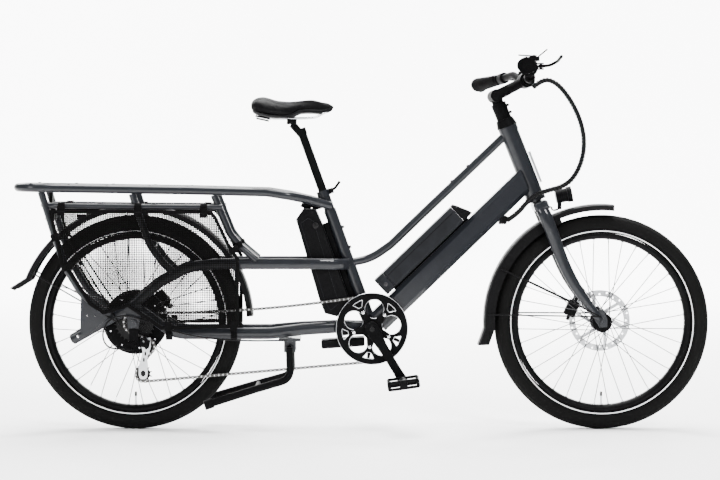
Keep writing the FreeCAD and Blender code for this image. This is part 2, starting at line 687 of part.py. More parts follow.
def brake_lever(side):
    """A two-finger blade on a pivot boss, with its cable end."""
    start = lever_pivot(side)
    route = [start, on_bar(148, side, 60, -6), on_bar(118, side, 82, -17), on_bar(30, side, 92, -28)]
    return cut(fuse(made_by(bent(route, 40, 9)), rod_across(8.4, 9, start, Z)),
               rod_across("2.6 + run_fit", 24, start, Z))


display = rounded(block(40, 62, 15, clamp + Vec(-6, -62, 48), 28), 4)
display_arm = rod(5, 40, clamp + Vec(-2, -62, 8), Vec(-0.1, 0, 1))
display_band = cut(rod_across(16, 14, clamp + Vec(-3, -62, 3), Y), rod_across("bar_radius + 0.5", 30,
                                                                             clamp + Vec(-3, -62, 3), Y))
shift_band = cut(rod(17, 12, on_bar(192, -1), run_of(-1)), rod("bar_radius", 30, on_bar(196, -1), run_of(-1)))
shift_pivot = on_bar(186, -1, 14, -26)
shift_pod = fuse(rod_across(17, 12, shift_pivot, Z),
                 made_by(solid_between(on_bar(186, -1, 4, -10), shift_pivot, 7)), rod_across(3, 24, shift_pivot, Z))
bell = rod(15, 18, clamp + Vec(4, 66, 12), Vec(0.2, 0, 1))
thumb_stalk = made_by(solid_between(clamp + Vec(10, -62, 54), clamp + Vec(51, -62, 87), 2.2))
keep(group(perch(-1), perch(1), display, display_arm, display_band, thumb_stalk, shift_band, shift_pod, bell),
     "bar_controls", twist)
keep(brake_lever(1), "left_brake_lever", twist)
keep(brake_lever(-1), "right_brake_lever", twist)
shift_start = shift_pivot + Z * 9
shift_blade = fuse(rod_across(9, 4, shift_start, Z),
                   made_by(solid_between(shift_start + Vec(-6, 3, 0.5), shift_start + Vec(-40, 22, 4), 2.2)))
keep(cut(shift_blade, rod_across("3 + run_fit", 30, shift_pivot, Z)), "shift_lever", twist)

# ---------------------------------------------------------------- wheels

bead = size("rim_outer")
rim_corners = [("rim_inner", -7), ("rim_inner + 8", "-rim_half_width"), ("rim_outer", "-rim_half_width"),
               ("rim_outer", "3.5 - rim_half_width"), ("rim_inner + 11", -10), ("rim_inner + 11", 10),
               ("rim_outer", "rim_half_width - 3.5"), ("rim_outer", "rim_half_width"),
               ("rim_inner + 8", "rim_half_width"), ("rim_inner", 7)]


def tyre(centre):
    """A torus of casing, open towards the rim."""
    ring = "tyre_radius - tyre_section"
    well = turned([("rim_inner - 10", -40), ("rim_outer", -40), ("rim_outer", 40), ("rim_inner - 10", 40)], centre)
    return cut(torus(ring, "tyre_section", centre), torus(ring, "tyre_section - casing", centre), well)


def wheel_rim(centre, flange_radius, flange_y, wind):
    """The rim, its spokes to the hub's two flanges, and the valve at its lowest point."""
    count = int(size("spoke_count"))
    spokes = []
    for n in range(count):
        rim_angle = 2 * math.pi * (n + 0.5) / count
        side = 1 if n % 2 else -1
        lead = wind if n % 4 < 2 else -wind
        foot = Vec(math.sin(rim_angle + lead) * flange_radius, side * flange_y,
                   math.cos(rim_angle + lead) * flange_radius)
        tip = Vec(math.sin(rim_angle), 0, math.cos(rim_angle)) * (size("rim_inner") - 0.4) + Y * (side * 3)
        spokes.append(solid_between(centre + foot, centre + tip, size("spoke_radius")))
    valve = solid_between(centre - Z * 243, centre - Z * 206, 3)
    return group(turned(rim_corners, centre), made_by(Part.Compound(spokes + [valve])))


def rotor(centre):
    """A slotted brake disc with a ring of holes and an open middle."""
    ring = cut(rod_across("rotor_radius", "rotor_thick", centre, Y),
               rod_across(72, 6, centre, Y))
    hub = cut(rod_across(30, "rotor_thick", centre, Y), rod_across(16.4, 6, centre, Y))
    arms = [block(48, size("rotor_thick"), 9, centre + Turn(Y, 60 * n + 12).multVec(X * 51), 60 * n + 12 + 18)
            for n in range(6)]
    holes = []
    for n in range(24):
        holes.append(solid_between(centre - Y * 5 + Turn(Y, 15 * n).multVec(X * (78 + 6 * (n % 2))),
                                   centre + Y * 5 + Turn(Y, 15 * n).multVec(X * (78 + 6 * (n % 2))), 3))
    return cut(fuse(ring, hub, *arms), made_by(Part.Compound(holes)))


keep(tyre(front_axle), "front_tyre")
keep(tyre(rear_axle), "rear_tyre")
keep(wheel_rim(front_axle, size("front_flange - 4"), size("front_flange_y"), math.radians(58)), "front_rim")
keep(wheel_rim(rear_axle, size("motor_radius - 5"), 20, math.radians(14)), "rear_rim")

front_hub = turned([("axle_radius + run_fit", -46), (13, -46), (15, -34), ("front_flange", -31),
                    ("front_flange", -27), (17, -22), (17, 22), ("front_flange", 27), ("front_flange", 31),
                    (22, 37), (16.4, 37), (16.4, 42), (13, 46), ("axle_radius + run_fit", 46)], front_axle)
keep(front_hub, "front_hub")
keep(rotor(front_axle + Y * size("front_rotor_y")), "front_rotor")

motor_half = "motor_half_width"
hub_motor = turned([("axle_radius + run_fit", -24), (60, -24), ("motor_radius - 8", "-motor_half_width"),
                    ("motor_radius", "6 - motor_half_width"), ("motor_radius", "motor_half_width - 6"),
                    ("motor_radius - 8", motor_half), (64, "motor_half_width + 3"), (50, "motor_half_width + 8"), (34, 41), (16.4, 41),
                    (16.4, 47), (14, 52), ("axle_radius + run_fit", 52)], rear_axle)
keep(hub_motor, "hub_motor")
keep(rotor(rear_axle + Y * size("rear_rotor_y")), "rear_rotor")


def caliper(middle, turn_to):
    """A body that straddles the rotor, with a bolt flange and the boss of its arm."""
    shell = cut(rounded(block(48, 30, 34, middle, turn_to), 6), block(60, 5, 60, middle, turn_to))
    boss = rod(10, 14, middle + Y * 14, Y)
    tabs = [rod_across(5, 8, middle + Turn(Y, turn_to).multVec(X * x) - Y * 13, Y) for x in (-32, 32)]
    straps = block(72, 6, 9, middle - Y * 12, turn_to)
    return fuse(shell, boss, straps, *tabs)


front_caliper_at = at(630, 351, size("front_rotor_y"))
rear_caliper_at = at(-585, 380, size("rear_rotor_y"))
caliper_spots = {"front": (front_caliper_at, -66), "rear": (rear_caliper_at, 49)}
for label, (middle, turn_to) in caliper_spots.items():
    keep(caliper(middle, turn_to), label + "_caliper")
    hinge = middle + Y * 28.3
    arm = fuse(rod(9, 6, hinge, Y), block(44, 5, 10, hinge + Turn(Y, turn_to).multVec(X * 18) + Y * 3, turn_to))
    keep(arm, label + "_caliper_arm")

# ---------------------------------------------------------------- drivetrain

chain_y, pitch = size("chain_y"), size("pitch")


def pitch_radius(teeth):
    return pitch / (2 * math.sin(math.pi / teeth))


def sprocket(teeth, thickness, centre, inner):
    """A toothed ring."""
    radius = pitch_radius(teeth)
    outline = []
    for n in range(teeth):
        for part, reach in ((0.0, -3.2), (0.32, -2.4), (0.44, 3.4), (0.56, 3.4), (0.68, -2.4)):
            angle = 2 * math.pi * (n + part) / teeth
            outline.append(centre + Vec(math.cos(angle), 0, math.sin(angle)) * (radius + reach) + Y * (thickness / 2))
    face = Part.Face(Part.makePolygon(outline + outline[:1]))
    bore = solid_between(centre - Y * thickness, centre + Y * thickness, inner)
    return face.extrude(Y * -thickness).cut(bore)


cog_counts = [11, 12, 13, 15, 18, 22, 28]
cogs = [made_by(sprocket(count, 2, rear_axle - Y * (60.4 - size("cog_step") * place), 17))
        for place, count in enumerate(cog_counts)]
cog_body = cut(rod("17", 36, rear_axle - Y * 62, Y), rod("axle_radius + run_fit", 40, rear_axle - Y * 64, Y))
keep(group(cog_body, *cogs), "cassette")

crank = math.radians(size("crank_angle"))
crank_end = Vec(math.cos(crank), 0, -math.sin(crank)) * size("crank_length")


def crank_arm(side):
    """A tapered arm with a boss at each end."""
    start, end = bottom_bracket + Y * (side * 60), bottom_bracket + crank_end * -side + Y * (side * 62)
    out = crank_end * (-side / size("crank_length"))
    across = out.cross(Y)
    inner, outer = bottom_bracket + out * 10, bottom_bracket + out * (size("crank_length") - 6)
    corners = [inner + across * 15, outer + across * 11, outer - across * 11, inner - across * 15]
    face = Part.Face(Part.makePolygon([corner + Y * (side * 61) for corner in corners + corners[:1]]))
    return [face.extrude(Y * (side * 13)), solid_between(start - Y * (side * 6), start + Y * (side * 16), 20),
            solid_between(end, end + Y * (side * 15), 14)]


right_arm = fused(crank_arm(-1))
left_arm = fused(crank_arm(1))
spindle = solid_between(bottom_bracket - Y * 54, bottom_bracket + Y * 54, 8.5)
pedal_pins = [solid_between(bottom_bracket + crank_end * -side + Y * (side * 72),
                            bottom_bracket + crank_end * -side + Y * (side * 175), 6) for side in (-1, 1)]
cranks = fused([right_arm, left_arm, spindle, *pedal_pins])

ring_at = bottom_bracket + Y * chain_y
toothed_ring = sprocket(int(size("ring_teeth")), 3, ring_at, 88)
bolt_circle, first_bolt, window_circle, slot_circle = 54, 47, 58, 79
slot_outline = [(-9, -5), (-9, 5), (7, 16), (9, 9), (9, -9), (7, -16)]
guard_tools, bolts, ring_tabs = [rod_across(20.1, 8, ring_at - Y * 6, Y)], [], []
for n in range(5):
    bolt_turn = -(first_bolt + 72 * n)
    bolt_at = ring_at + Turn(Y, bolt_turn).multVec(X * bolt_circle)
    window_at = ring_at + Turn(Y, bolt_turn + 36).multVec(X * window_circle) - Y * 6
    slot_at = ring_at + Turn(Y, bolt_turn).multVec(X * slot_circle) - Y * 6
    guard_tools += [rod_across(28, 8, window_at, Y), plate(slot_outline, 8, slot_at, bolt_turn)]
    bolts.append(fuse(rod_across(6, 3, bolt_at - Y * 3, Y), rod(5.5, 3, bolt_at - Y * 10.5, Y)))
    ring_tabs.append(plate([(-6, -6), (37, -4.5), (37, 4.5), (-6, 6)], 3, bolt_at, bolt_turn))
guard_disc = cut(rod_across("guard_radius - 0.5", 3, ring_at - Y * 6, Y), *guard_tools)
ring_whole = fuse(made_by(toothed_ring), *ring_tabs)
keep(made_by(cranks), "crankset")
keep(group(ring_whole, guard_disc, *bolts), "chainring")


def pedal(side):
    """A platform pedal: two bearing cylinders, cross bars and side plates round an open cage."""
    centre = bottom_bracket + crank_end * -side + Y * (side * 131)
    tilt = -size("pedal_tilt")

    def spot(x, y, z):
        return centre + Turn(Y, tilt).multVec(Vec(x, 0, z)) + Y * (side * y)

    bars = [block(9, 96, 26, spot(x, 0, 0), tilt) for x in (-42, 42)]
    ends = [block(92, 7, 20, spot(0, y, 0), tilt) for y in (-44, 44)]
    webs = [block(40, 6, 14, spot(x, y, 0), tilt) for x in (-22, 22) for y in (-15, 15)]
    barrel = rod_across(13, 92, centre, Y)
    return cut(fuse(*bars, *ends, *webs, barrel),
               rod_across("6 + run_fit", 140, centre, Y))


for label, side in (("right_pedal", -1), ("left_pedal", 1)):
    keep(pedal(side), label)

guide_at, tension_at = at(-622, 246, chain_y), at(-632, 166, chain_y)
pulley_radius = pitch_radius(int(size("pulley_teeth")))
for label, centre in (("guide_pulley", guide_at), ("tension_pulley", tension_at)):
    keep(made_by(sprocket(int(size("pulley_teeth")), 3.4, centre, 3 + size("run_fit"))), label)
cage_pivot = at(-630, 262)
cage_outline = [cage_pivot + Vec(-9, 0, 12), cage_pivot + Vec(9, 0, 8), guide_at + Vec(12, 0, 0),
                tension_at + Vec(13, 0, 4), tension_at + Vec(8, 0, -12), tension_at + Vec(-8, 0, -12),
                tension_at + Vec(-13, 0, 4), cage_pivot + Vec(-12, 0, -4)]
cage_middle = at(-627, 214, chain_y)
corners_of_cage = [(p.x - cage_middle.x, p.z - cage_middle.z) for p in cage_outline]
cage_plates = [plate(corners_of_cage, 1.8, cage_middle + Y * side) for side in (-7, 7)]
window = block(11, 30, 34, at(-627, 208, chain_y))
cage_pins = [rod_across(3, 15, centre, Y) for centre in (guide_at, tension_at)]
cage_boss = rod(7, 3, at(cage_pivot.x, cage_pivot.z, chain_y - 10.6), Y)
cage_shaft = rod(4, 18, at(cage_pivot.x, cage_pivot.z, chain_y - 26), Y)
keep(cut(fuse(*cage_plates, *cage_pins, cage_boss, cage_shaft), window), "derailleur_cage")

hanger = cut(block(26, 5, 56, rear_axle + Vec(2, -(dropout_y + 10.5), -42)), rod_across(14, 40, rear_axle, Y))
knuckle = rod(13, 24, at(-657, 254, -82), Y)
link = block(60, 12, 22, at(-642, 260, -66), 12)
cage_knuckle = rod(13, 14, at(cage_pivot.x, cage_pivot.z, -72), Y)
cable_stop = rod(5, 20, at(-662, 243, -84), -X)
hanger_bolt = rod(7, 10, at(-657, 254, -90), Y)
body_bore = rod_across("4 + run_fit", 60, at(cage_pivot.x, cage_pivot.z, -60), Y)
keep(cut(fuse(knuckle, link, cage_knuckle, hanger_bolt, cable_stop, hanger), body_bore), "derailleur_body")


def tangent(start, start_radius, start_side, end, end_radius, end_side):
    """The ends of a straight run between two circles. The side is -1 where the run turns left round them."""
    reach = end - start
    lean_out = math.acos((start_side * start_radius - end_side * end_radius) / reach.Length)
    heading = math.atan2(reach.z, reach.x) + lean_out
    normal = Vec(math.cos(heading), 0, math.sin(heading))
    return start + normal * (start_side * start_radius), end + normal * (end_side * end_radius)


def chain_line():
    """The chain's middle line: over the ring, back to the cog, and round the two pulleys."""
    ring, cog = ring_at, Vec(rear_axle.x, chain_y, rear_axle.z)
    loop = [(ring, pitch_radius(int(size("ring_teeth"))), -1), (cog, pitch_radius(int(size("cog_teeth"))), -1),
            (guide_at, pulley_radius, 1), (tension_at, pulley_radius, -1)]
    runs = [tangent(*loop[n], *loop[(n + 1) % 4]) for n in range(4)]
    points = []
    for n, (leave, arrive) in enumerate(runs):
        steps = max(2, round((arrive - leave).Length / pitch))
        sag = 16 if n == 0 else 0
        for step in range(steps):
            share = step / steps
            points.append(leave + (arrive - leave) * share - Z * (4 * sag * share * (1 - share)))
        centre, radius, side = loop[(n + 1) % 4]
        leaving = runs[(n + 1) % 4][0]
        first = math.atan2(arrive.z - centre.z, arrive.x - centre.x)
        last = math.atan2(leaving.z - centre.z, leaving.x - centre.x)
        swing = (last - first) % (2 * math.pi) if side < 0 else -((first - last) % (2 * math.pi))
        steps = max(2, round(abs(swing) * radius / (pitch / 2)))
        for step in range(steps):
            angle = first + swing * step / steps
            points.append(centre + Vec(math.cos(angle), 0, math.sin(angle)) * radius)
    return points


def plate_row(line, low, high):
    """One row of the chain's side plates, between two distances along Y."""
    bands = []
    for reach in (-4, 4):
        points = []
        for n, point in enumerate(line):
            along = (line[(n + 1) % len(line)] - line[n - 1]).normalize()
            points.append(point + along.cross(Y) * reach + Y * low)
        bands.append(Part.Face(Part.makePolygon(points + points[:1])).extrude(Y * (high - low)))
    inner, outer = sorted(bands, key=lambda band: band.Volume)
    return outer.cut(inner)


middle_line = chain_line()
keep(made_by(Part.Compound([plate_row(middle_line, -3.5, -2), plate_row(middle_line, 2, 3.5)])), "chain")

# ---------------------------------------------------------------- seat

post = fuse(rod("post_radius", "post_length", on_seat(size("post_top - post_length")), seat_up),
            rod("post_radius + 2", 20, on_seat(size("post_top") - 20), seat_up))
saddle_clamp = fuse(block(28, 52, 16, at(-199, 904, 0), 4), rod_across(5, 56, at(-197, 893), Y),
                    made_by(solid_between(on_seat(size("post_top") - 20, 2), at(-198, 898), 11)))
keep(fuse(post, saddle_clamp), "seatpost")

side_outline = [(-66, 952), (-74, 962), (-86, 970), (-101, 973), (-145, 972), (-175, 967), (-204, 964), (-234, 966),
                (-249, 969), (-263, 973), (-293, 982), (-308, 981), (-318, 972), (-324, 954), (-316, 936),
                (-293, 924), (-263, 916), (-234, 914), (-215, 914), (-195, 920), (-175, 930), (-116, 929),
                (-101, 930), (-86, 935), (-74, 944)]
plan_outline = [(-66, 10), (-72, 18), (-86, 23), (-130, 27), (-170, 41), (-210, 70), (-250, 94), (-285, 100),
                (-305, 93), (-318, 76), (-324, 36)]
plan_outline += [(x, -side) for x, side in reversed(plan_outline)]
side_prism = plate([(x + 200, z - 940) for x, z in side_outline], 220, at(-200, 940))
plan_face = Part.Face(Part.makePolygon([Vec(x, side, 900) for x, side in plan_outline + plan_outline[:1]]))
cushion = doc.addObject("Part::Common", "cushion")
cushion.Base, cushion.Tool = side_prism, made_by(plan_face.extrude(Z * 100))
rails = [made_by(bent([at(-96, 942, side * 0.5), at(-120, 914, side), at(-260, 914, side), at(-296, 928, side + 4)],
                      20, 7)) for side in (-22, 22)]
bumper = cut(block(44, 84, 26, at(-283, 921), 12), cushion)
keep(group(cushion, bumper, *[cut(rail_wire, cushion, bumper) for rail_wire in rails]), "saddle")

collar_at = size("seat_tube_length") - 9
collar = cut(rod(20, 18, on_seat(collar_at - 9), seat_up),
             rod("seat_neck_radius", 30, on_seat(collar_at - 15), seat_up))
collar_bolt = fuse(rod(3, 40, on_seat(collar_at, -23, -14), Y), rod(6, 5, on_seat(collar_at, -23, -14.6), Y),
                   rod(6, 5, on_seat(collar_at, -23, 21), Y))
collar_ears = [block(16, 7, 16, on_seat(collar_at, -22, side), -size("seat_angle")) for side in (-6, 6)]
seat_tube.Label = "seat tube alone"
keep(group(seat_tube, fuse(collar, collar_bolt, *collar_ears)), "seat_tube")
cam_at = on_seat(collar_at, -23, -21.2)
lever_blade = made_by(bent([cam_at, cam_at - seat_back * 16 + seat_up * 5, cam_at - seat_back * 34 + seat_up * 18],
                           12, 8))
keep(fuse(rod_across(6, 13, cam_at, seat_up), lever_blade), "seat_lever")

# ---------------------------------------------------------------- stand

elbow, foot = at(stand_x, stand_z, 62), at(-441, 82, 92)
left_leg = [stand_pivot + Y * 62, at(stand_pivot.x + 1, 206, 62), elbow, at(-310, 122, 74), foot]
leg_tubes = both_sides(left_leg, 34, 2 * size("stand_leg_radius"))
feet = [solid_between(at(-425, 87, side * 90), at(-450, 79, side * 93), 14) for side in (-1, 1)]
pin = solid_between(stand_pivot - Y * 64, stand_pivot + Y * 64, 6)
barrel = solid_between(stand_pivot - Y * 30, stand_pivot + Y * 30, 11)
tie = solid_between(at(-300, 127, -73), at(-300, 127, 73), 6)
keep(made_by(fused(leg_tubes + feet + [pin, barrel, tie])), "stand")

# ---------------------------------------------------------------- batteries

battery_half = size("battery_half_width")
high = size("main_battery_height")
battery_section = [(0, -battery_half + 6), (6, -battery_half), (high - 14, -battery_half), (high, -battery_half + 14),
                   (high, battery_half - 14), (high - 14, battery_half), (6, battery_half), (0, battery_half - 6)]
raised = [(over + battery_over, side) for over, side in battery_section]
cap = 34
long = size("main_battery_length")
lower_cap = made_by(extruded_on_down(raised, 20, cap))
middle_case = made_by(extruded_on_down(raised, 20 + cap, long - 2 * cap))
upper_cap = cut(made_by(extruded_on_down(raised, 20 + long - cap, cap)),
                block(90, 120, 60, on_down(20 + long + 22, battery_over + high + 6), -size("down_tube_angle") - 40))
keep(group(lower_cap, middle_case, upper_cap), "main_battery")

rail_back = size("seat_tube_radius") + 15.3
rail_edge = [(point.x, point.z) for point in (on_seat(66, rail_back), on_seat(326, rail_back))]
rear_outline = [(-128, 647), (-164, 650), (-186, 618), (-117, 382), (-101, 342), (-66, 333)] + rail_edge
rear_centre = at(-112, 500)
rear_case = plate([(x - rear_centre.x, z - rear_centre.z) for x, z in rear_outline], "2 * battery_half_width",
                  rear_centre)
rear_case = rounded(rear_case, 7, lambda edge: abs(edge.BoundBox.YLength) < 1)
handle_cut = block(26, 60, 20, at(-158, 640), 30)
key_lock = rod_across(9, 3, at(-128, 600, -battery_half - 1), Y)
keep(group(cut(rear_case, handle_cut), key_lock), "rear_battery")

# ---------------------------------------------------------------- cables


def cord(points, diameter, label):
    """A cable along straight runs joined by arcs as large as the runs allow."""
    edges, last, radii = [], points[0], []
    for before, corner, after in zip(points, points[1:], points[2:]):
        back, ahead = before - corner, after - corner
        reach = 0.45 * min(back.Length, ahead.Length)
        back.normalize()
        ahead.normalize()
        half_turn = (math.pi - back.getAngle(ahead)) / 2
        radii.append(reach / math.tan(half_turn))
        start, end = corner + back * reach, corner + ahead * reach
        middle = corner + (back + ahead).normalize() * (radii[-1] / math.cos(half_turn) - radii[-1])
        edges += [Part.LineSegment(last, start).toShape(), Part.Arc(start, middle, end).toShape()]
        last = end
    edges.append(Part.LineSegment(last, points[-1]).toShape())
    path = Part.Wire(edges)
    section = Part.Wire([Part.Circle(points[0], points[1] - points[0], diameter / 2).toShape()])
    tube = path.makePipeShell([section], True, False)
    share = tube.Volume / (path.Length * math.pi * diameter ** 2 / 4)
    print(f"{label}: length {path.Length:.0f}, volume share {share:.3f}, radii", [round(r) for r in radii])
    return tube


bundle_route = [at(506, 1004, -70), at(536, 1030, -80), at(572, 1018, -86), at(603, 984, -82), at(628, 944, -76),
                at(646, 902, -70), at(656, 858, -64), at(655, 812, -60), at(643, 770, -57), at(620, 732, -55),
                at(588, 712, -56), at(553, 704, -57), at(519, 692, -52), at(489, 668, -45), at(466, 636, -31),
                gland_tip + gland_way * 0.4]
keep(made_by(cord(bundle_route, 15, "front bundle")), "cable_bundle")
shift_route = [at(-210, 268, -80), at(-280, 266, -84), at(-350, 268, -86), at(-420, 272, -87), at(-490, 282, -88),
               at(-556, 300, -89), at(-620, 326, -91), at(-680, 344, -93), at(-728, 330, -94), at(-748, 290, -94),
               at(-738, 254, -92), at(-712, 242, -88), at(-682.4, 243, -84)]
keep(made_by(cord(shift_route, 5, "rear shift cable")), "rear_shift_cable")

# ---------------------------------------------------------------- checks and files

doc.recompute()
faults = [obj.Label for obj in doc.Objects if any(flag in obj.State for flag in ("Invalid", "Error"))]
for label, obj in parts.items():
    shape = obj.Shape
    if shape.isNull() or not shape.isValid() or not shape.Solids:
        faults.append(label)
if faults:
    raise RuntimeError(f"these are not sound: {faults}")
os.makedirs("parts", exist_ok=True)
for label, obj in sorted(parts.items()):
    obj.Shape.exportStep(f"parts/{label}.step")
print(len(parts), "sub-parts written")
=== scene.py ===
import json
import math

import bmesh
import bpy
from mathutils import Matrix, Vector
from mathutils.bvhtree import BVHTree


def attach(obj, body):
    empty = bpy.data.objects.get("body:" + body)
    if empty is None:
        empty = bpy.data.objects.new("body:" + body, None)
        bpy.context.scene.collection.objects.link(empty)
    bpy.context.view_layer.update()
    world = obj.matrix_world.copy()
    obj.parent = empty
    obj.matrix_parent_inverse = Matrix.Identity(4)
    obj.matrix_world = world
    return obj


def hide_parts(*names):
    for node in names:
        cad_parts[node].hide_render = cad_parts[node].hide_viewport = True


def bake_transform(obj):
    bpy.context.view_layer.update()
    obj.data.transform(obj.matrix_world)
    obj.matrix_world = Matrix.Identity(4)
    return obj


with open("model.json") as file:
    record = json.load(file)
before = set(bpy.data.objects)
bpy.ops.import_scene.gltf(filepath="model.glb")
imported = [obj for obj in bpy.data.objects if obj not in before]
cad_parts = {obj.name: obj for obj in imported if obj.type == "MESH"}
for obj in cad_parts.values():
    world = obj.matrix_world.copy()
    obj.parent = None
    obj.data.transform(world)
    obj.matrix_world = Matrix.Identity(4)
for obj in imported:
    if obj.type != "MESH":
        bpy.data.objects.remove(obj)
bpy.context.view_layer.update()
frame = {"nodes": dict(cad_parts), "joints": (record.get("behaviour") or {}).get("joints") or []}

# Looks of a long-tail cargo bicycle. Metres, X forward, Y to the rider's left, Z up, origin on the floor.

X, Y, Z = Vector((1, 0, 0)), Vector((0, 1, 0)), Vector((0, 0, 1))
SIDES = ((-1, "right"), (1, "left"))
MM = 0.001
joints = {joint["name"]: joint for joint in frame["joints"]}


def mm(*rows):
    """Rows of numbers that are given in millimetres."""
    return [tuple(value * MM for value in row) for row in rows]


def joint_at(name):
    return Vector(joints[name]["pos_m"])


front_axle = joint_at("front_wheel_spin")
rear_axle = joint_at("rear_wheel_spin")
bottom_bracket = joint_at("crank_spin")

# ---------------------------------------------------------------- materials


def noise(scale, detail=3.0, stretch=None):
    """A cloudy pattern on the surface, which may be scaled along each axis first."""
    return "ShaderNodeTexNoise", {"Scale": scale, "Detail": detail}, "Fac", stretch


def cells(scale, stretch=None):
    return "ShaderNodeTexVoronoi", {"Scale": scale}, "Distance", stretch


def shades_of(colour, low, high):
    return tuple(channel * low for channel in colour), tuple(channel * high for channel in colour)


def paint(name, colour, roughness, specular=0.5, metallic=0.0, coat=0.0, coat_roughness=0.1,
          transmission=0.0, shades=None, gloss=None, bumps=()):
    """A node material: a colour between two shades, a gloss that varies, and reliefs (heights in metres)."""
    material = bpy.data.materials.new(name)
    material.use_nodes = True
    nodes, links = material.node_tree.nodes, material.node_tree.links
    shader = nodes["Principled BSDF"].inputs
    for socket, value in (("Base Color", (*colour, 1)), ("Roughness", roughness), ("Metallic", metallic),
                          ("Specular IOR Level", specular), ("Coat Weight", coat),
                          ("Coat Roughness", coat_roughness), ("Transmission Weight", transmission)):
        shader[socket].default_value = value
    place = nodes.new("ShaderNodeTexCoord").outputs["Object"]

    def pattern(kind, settings, output, stretch):
        source = place
        if stretch:
            mapping = nodes.new("ShaderNodeMapping")
            mapping.inputs["Scale"].default_value = stretch
            links.new(place, mapping.inputs["Vector"])
            source = mapping.outputs["Vector"]
        node = nodes.new(kind)
        for socket, value in settings.items():
            node.inputs[socket].default_value = value
        links.new(source, node.inputs["Vector"])
        return node.outputs[output]

    if shades:
        texture, low, high = shades
        ramp = nodes.new("ShaderNodeValToRGB")
        for element, position, tint in zip(ramp.color_ramp.elements, (0.35, 0.65), (low, high)):
            element.position = position
            element.color = (*tint, 1)
        links.new(pattern(*texture), ramp.inputs["Fac"])
        links.new(ramp.outputs["Color"], shader["Base Color"])
    if gloss:
        texture, low, high = gloss
        spread = nodes.new("ShaderNodeMapRange")
        spread.inputs["To Min"].default_value = low
        spread.inputs["To Max"].default_value = high
        links.new(pattern(*texture), spread.inputs["Value"])
        links.new(spread.outputs["Result"], shader["Roughness"])
    normal = None
    for texture, height, strength in bumps:
        relief = nodes.new("ShaderNodeBump")
        relief.inputs["Distance"].default_value = height
        relief.inputs["Strength"].default_value = strength
        links.new(pattern(*texture), relief.inputs["Height"])
        if normal:
            links.new(normal, relief.inputs["Normal"])
        normal = relief.outputs["Normal"]
        links.new(normal, shader["Normal"])
    return material


slate, battery_slate = (0.0092, 0.0102, 0.0126), (0.0068, 0.0074, 0.0090)
soot = (0.002, 0.002, 0.0022)
black_shades = (0.0014, 0.0014, 0.0016), (0.003, 0.003, 0.0033)
moulded = (0.0024, 0.0024, 0.0027)
drawn, fine_metal = noise(30, 4, (1, 40, 1)), noise(220, 4)
brushed, weave = noise(40, 4, (1, 18, 22)), cells(900, (1, 1, 0.5))

SLATE = paint("frame paint", slate, 0.42, 0.06, coat=0.45, coat_roughness=0.04,
              shades=(noise(2600, 1), *shades_of(slate, 0.75, 1.3)), gloss=(noise(9, 4), 0.34, 0.46),
              bumps=[(noise(420, 2), 0.00003, 0.3)])
BLACK = paint("satin black metal", soot, 0.52, 0.03, shades=(noise(240, 4), *black_shades),
              gloss=(noise(14, 5), 0.46, 0.6), bumps=[(noise(900, 2), 0.00006, 0.5)])
GLOSS = paint("gloss black metal", soot, 0.34, 0.05, shades=(noise(260, 4), *black_shades),
              bumps=[(noise(500, 2), 0.00004, 0.4)])
PLASTIC = paint("moulded black plastic", moulded, 0.52, 0.04,
                shades=(noise(300, 4), (0.0017, 0.0017, 0.002), (0.0036, 0.0036, 0.004)),
                gloss=(noise(22, 3), 0.46, 0.6), bumps=[(cells(1500), 0.00008, 0.5)])
FENDER = paint("fender plastic", moulded, 0.5, 0.06,
               shades=(noise(200, 4), (0.0018, 0.0018, 0.002), (0.0034, 0.0034, 0.0038)),
               gloss=(noise(12, 4), 0.42, 0.58), bumps=[(noise(700, 2), 0.00004, 0.4)])
RUBBER = paint("tyre rubber", (0.0028, 0.0028, 0.0028), 0.8, 0.06,
               shades=(noise(900, 5), (0.002, 0.002, 0.002), (0.0042, 0.0042, 0.0041)),
               gloss=(noise(60, 4), 0.72, 0.88), bumps=[(noise(1200, 3), 0.00018, 0.7)])
WHITE = paint("reflective stripe", (0.86, 0.87, 0.88), 0.35,
              shades=(cells(1800), (0.72, 0.73, 0.75), (0.93, 0.93, 0.94)),
              bumps=[(cells(1800), 0.00008, 0.5)])
STEEL = paint("bright steel", (0.72, 0.73, 0.75), 0.22, metallic=1.0,
              shades=(noise(120, 3), (0.62, 0.63, 0.65), (0.8, 0.81, 0.83)), gloss=(noise(60, 4), 0.16, 0.34))
ALLOY = paint("brushed aluminium", (0.40, 0.41, 0.42), 0.32, metallic=1.0,
              shades=(brushed, (0.55, 0.56, 0.58), (0.75, 0.76, 0.78)), gloss=(brushed, 0.24, 0.42),
              bumps=[(brushed, 0.00005, 0.5)])
CHAIN = paint("chain steel", (0.06, 0.058, 0.056), 0.36, metallic=0.9,
              shades=(noise(300, 3), (0.03, 0.029, 0.028), (0.11, 0.108, 0.105)),
              gloss=(noise(180, 3), 0.25, 0.5))
DARK = paint("dark steel", (0.006, 0.006, 0.0063), 0.4, 0.15, metallic=0.3,
             shades=(noise(260, 3), (0.004, 0.004, 0.0042), (0.010, 0.010, 0.0105)),
             gloss=(noise(120, 3), 0.3, 0.5))
SPOKE = paint("spoke steel", (0.030, 0.030, 0.032), 0.38, 0.2, metallic=0.6,
              shades=(noise(200, 3), (0.018, 0.018, 0.019), (0.050, 0.050, 0.053)),
              gloss=(noise(120, 3), 0.28, 0.45))
ROTOR = paint("rotor steel", (0.42, 0.43, 0.45), 0.3, metallic=1.0,
              shades=(fine_metal, (0.5, 0.51, 0.53), (0.72, 0.73, 0.75)), gloss=(fine_metal, 0.22, 0.4),
              bumps=[(noise(900, 2), 0.00003, 0.5)])
SHELL = paint("battery shell", battery_slate, 0.45, 0.1,
              shades=(drawn, *shades_of(battery_slate, 0.82, 1.2)), gloss=(drawn, 0.36, 0.5),
              bumps=[(noise(1300, 2), 0.00005, 0.5)])
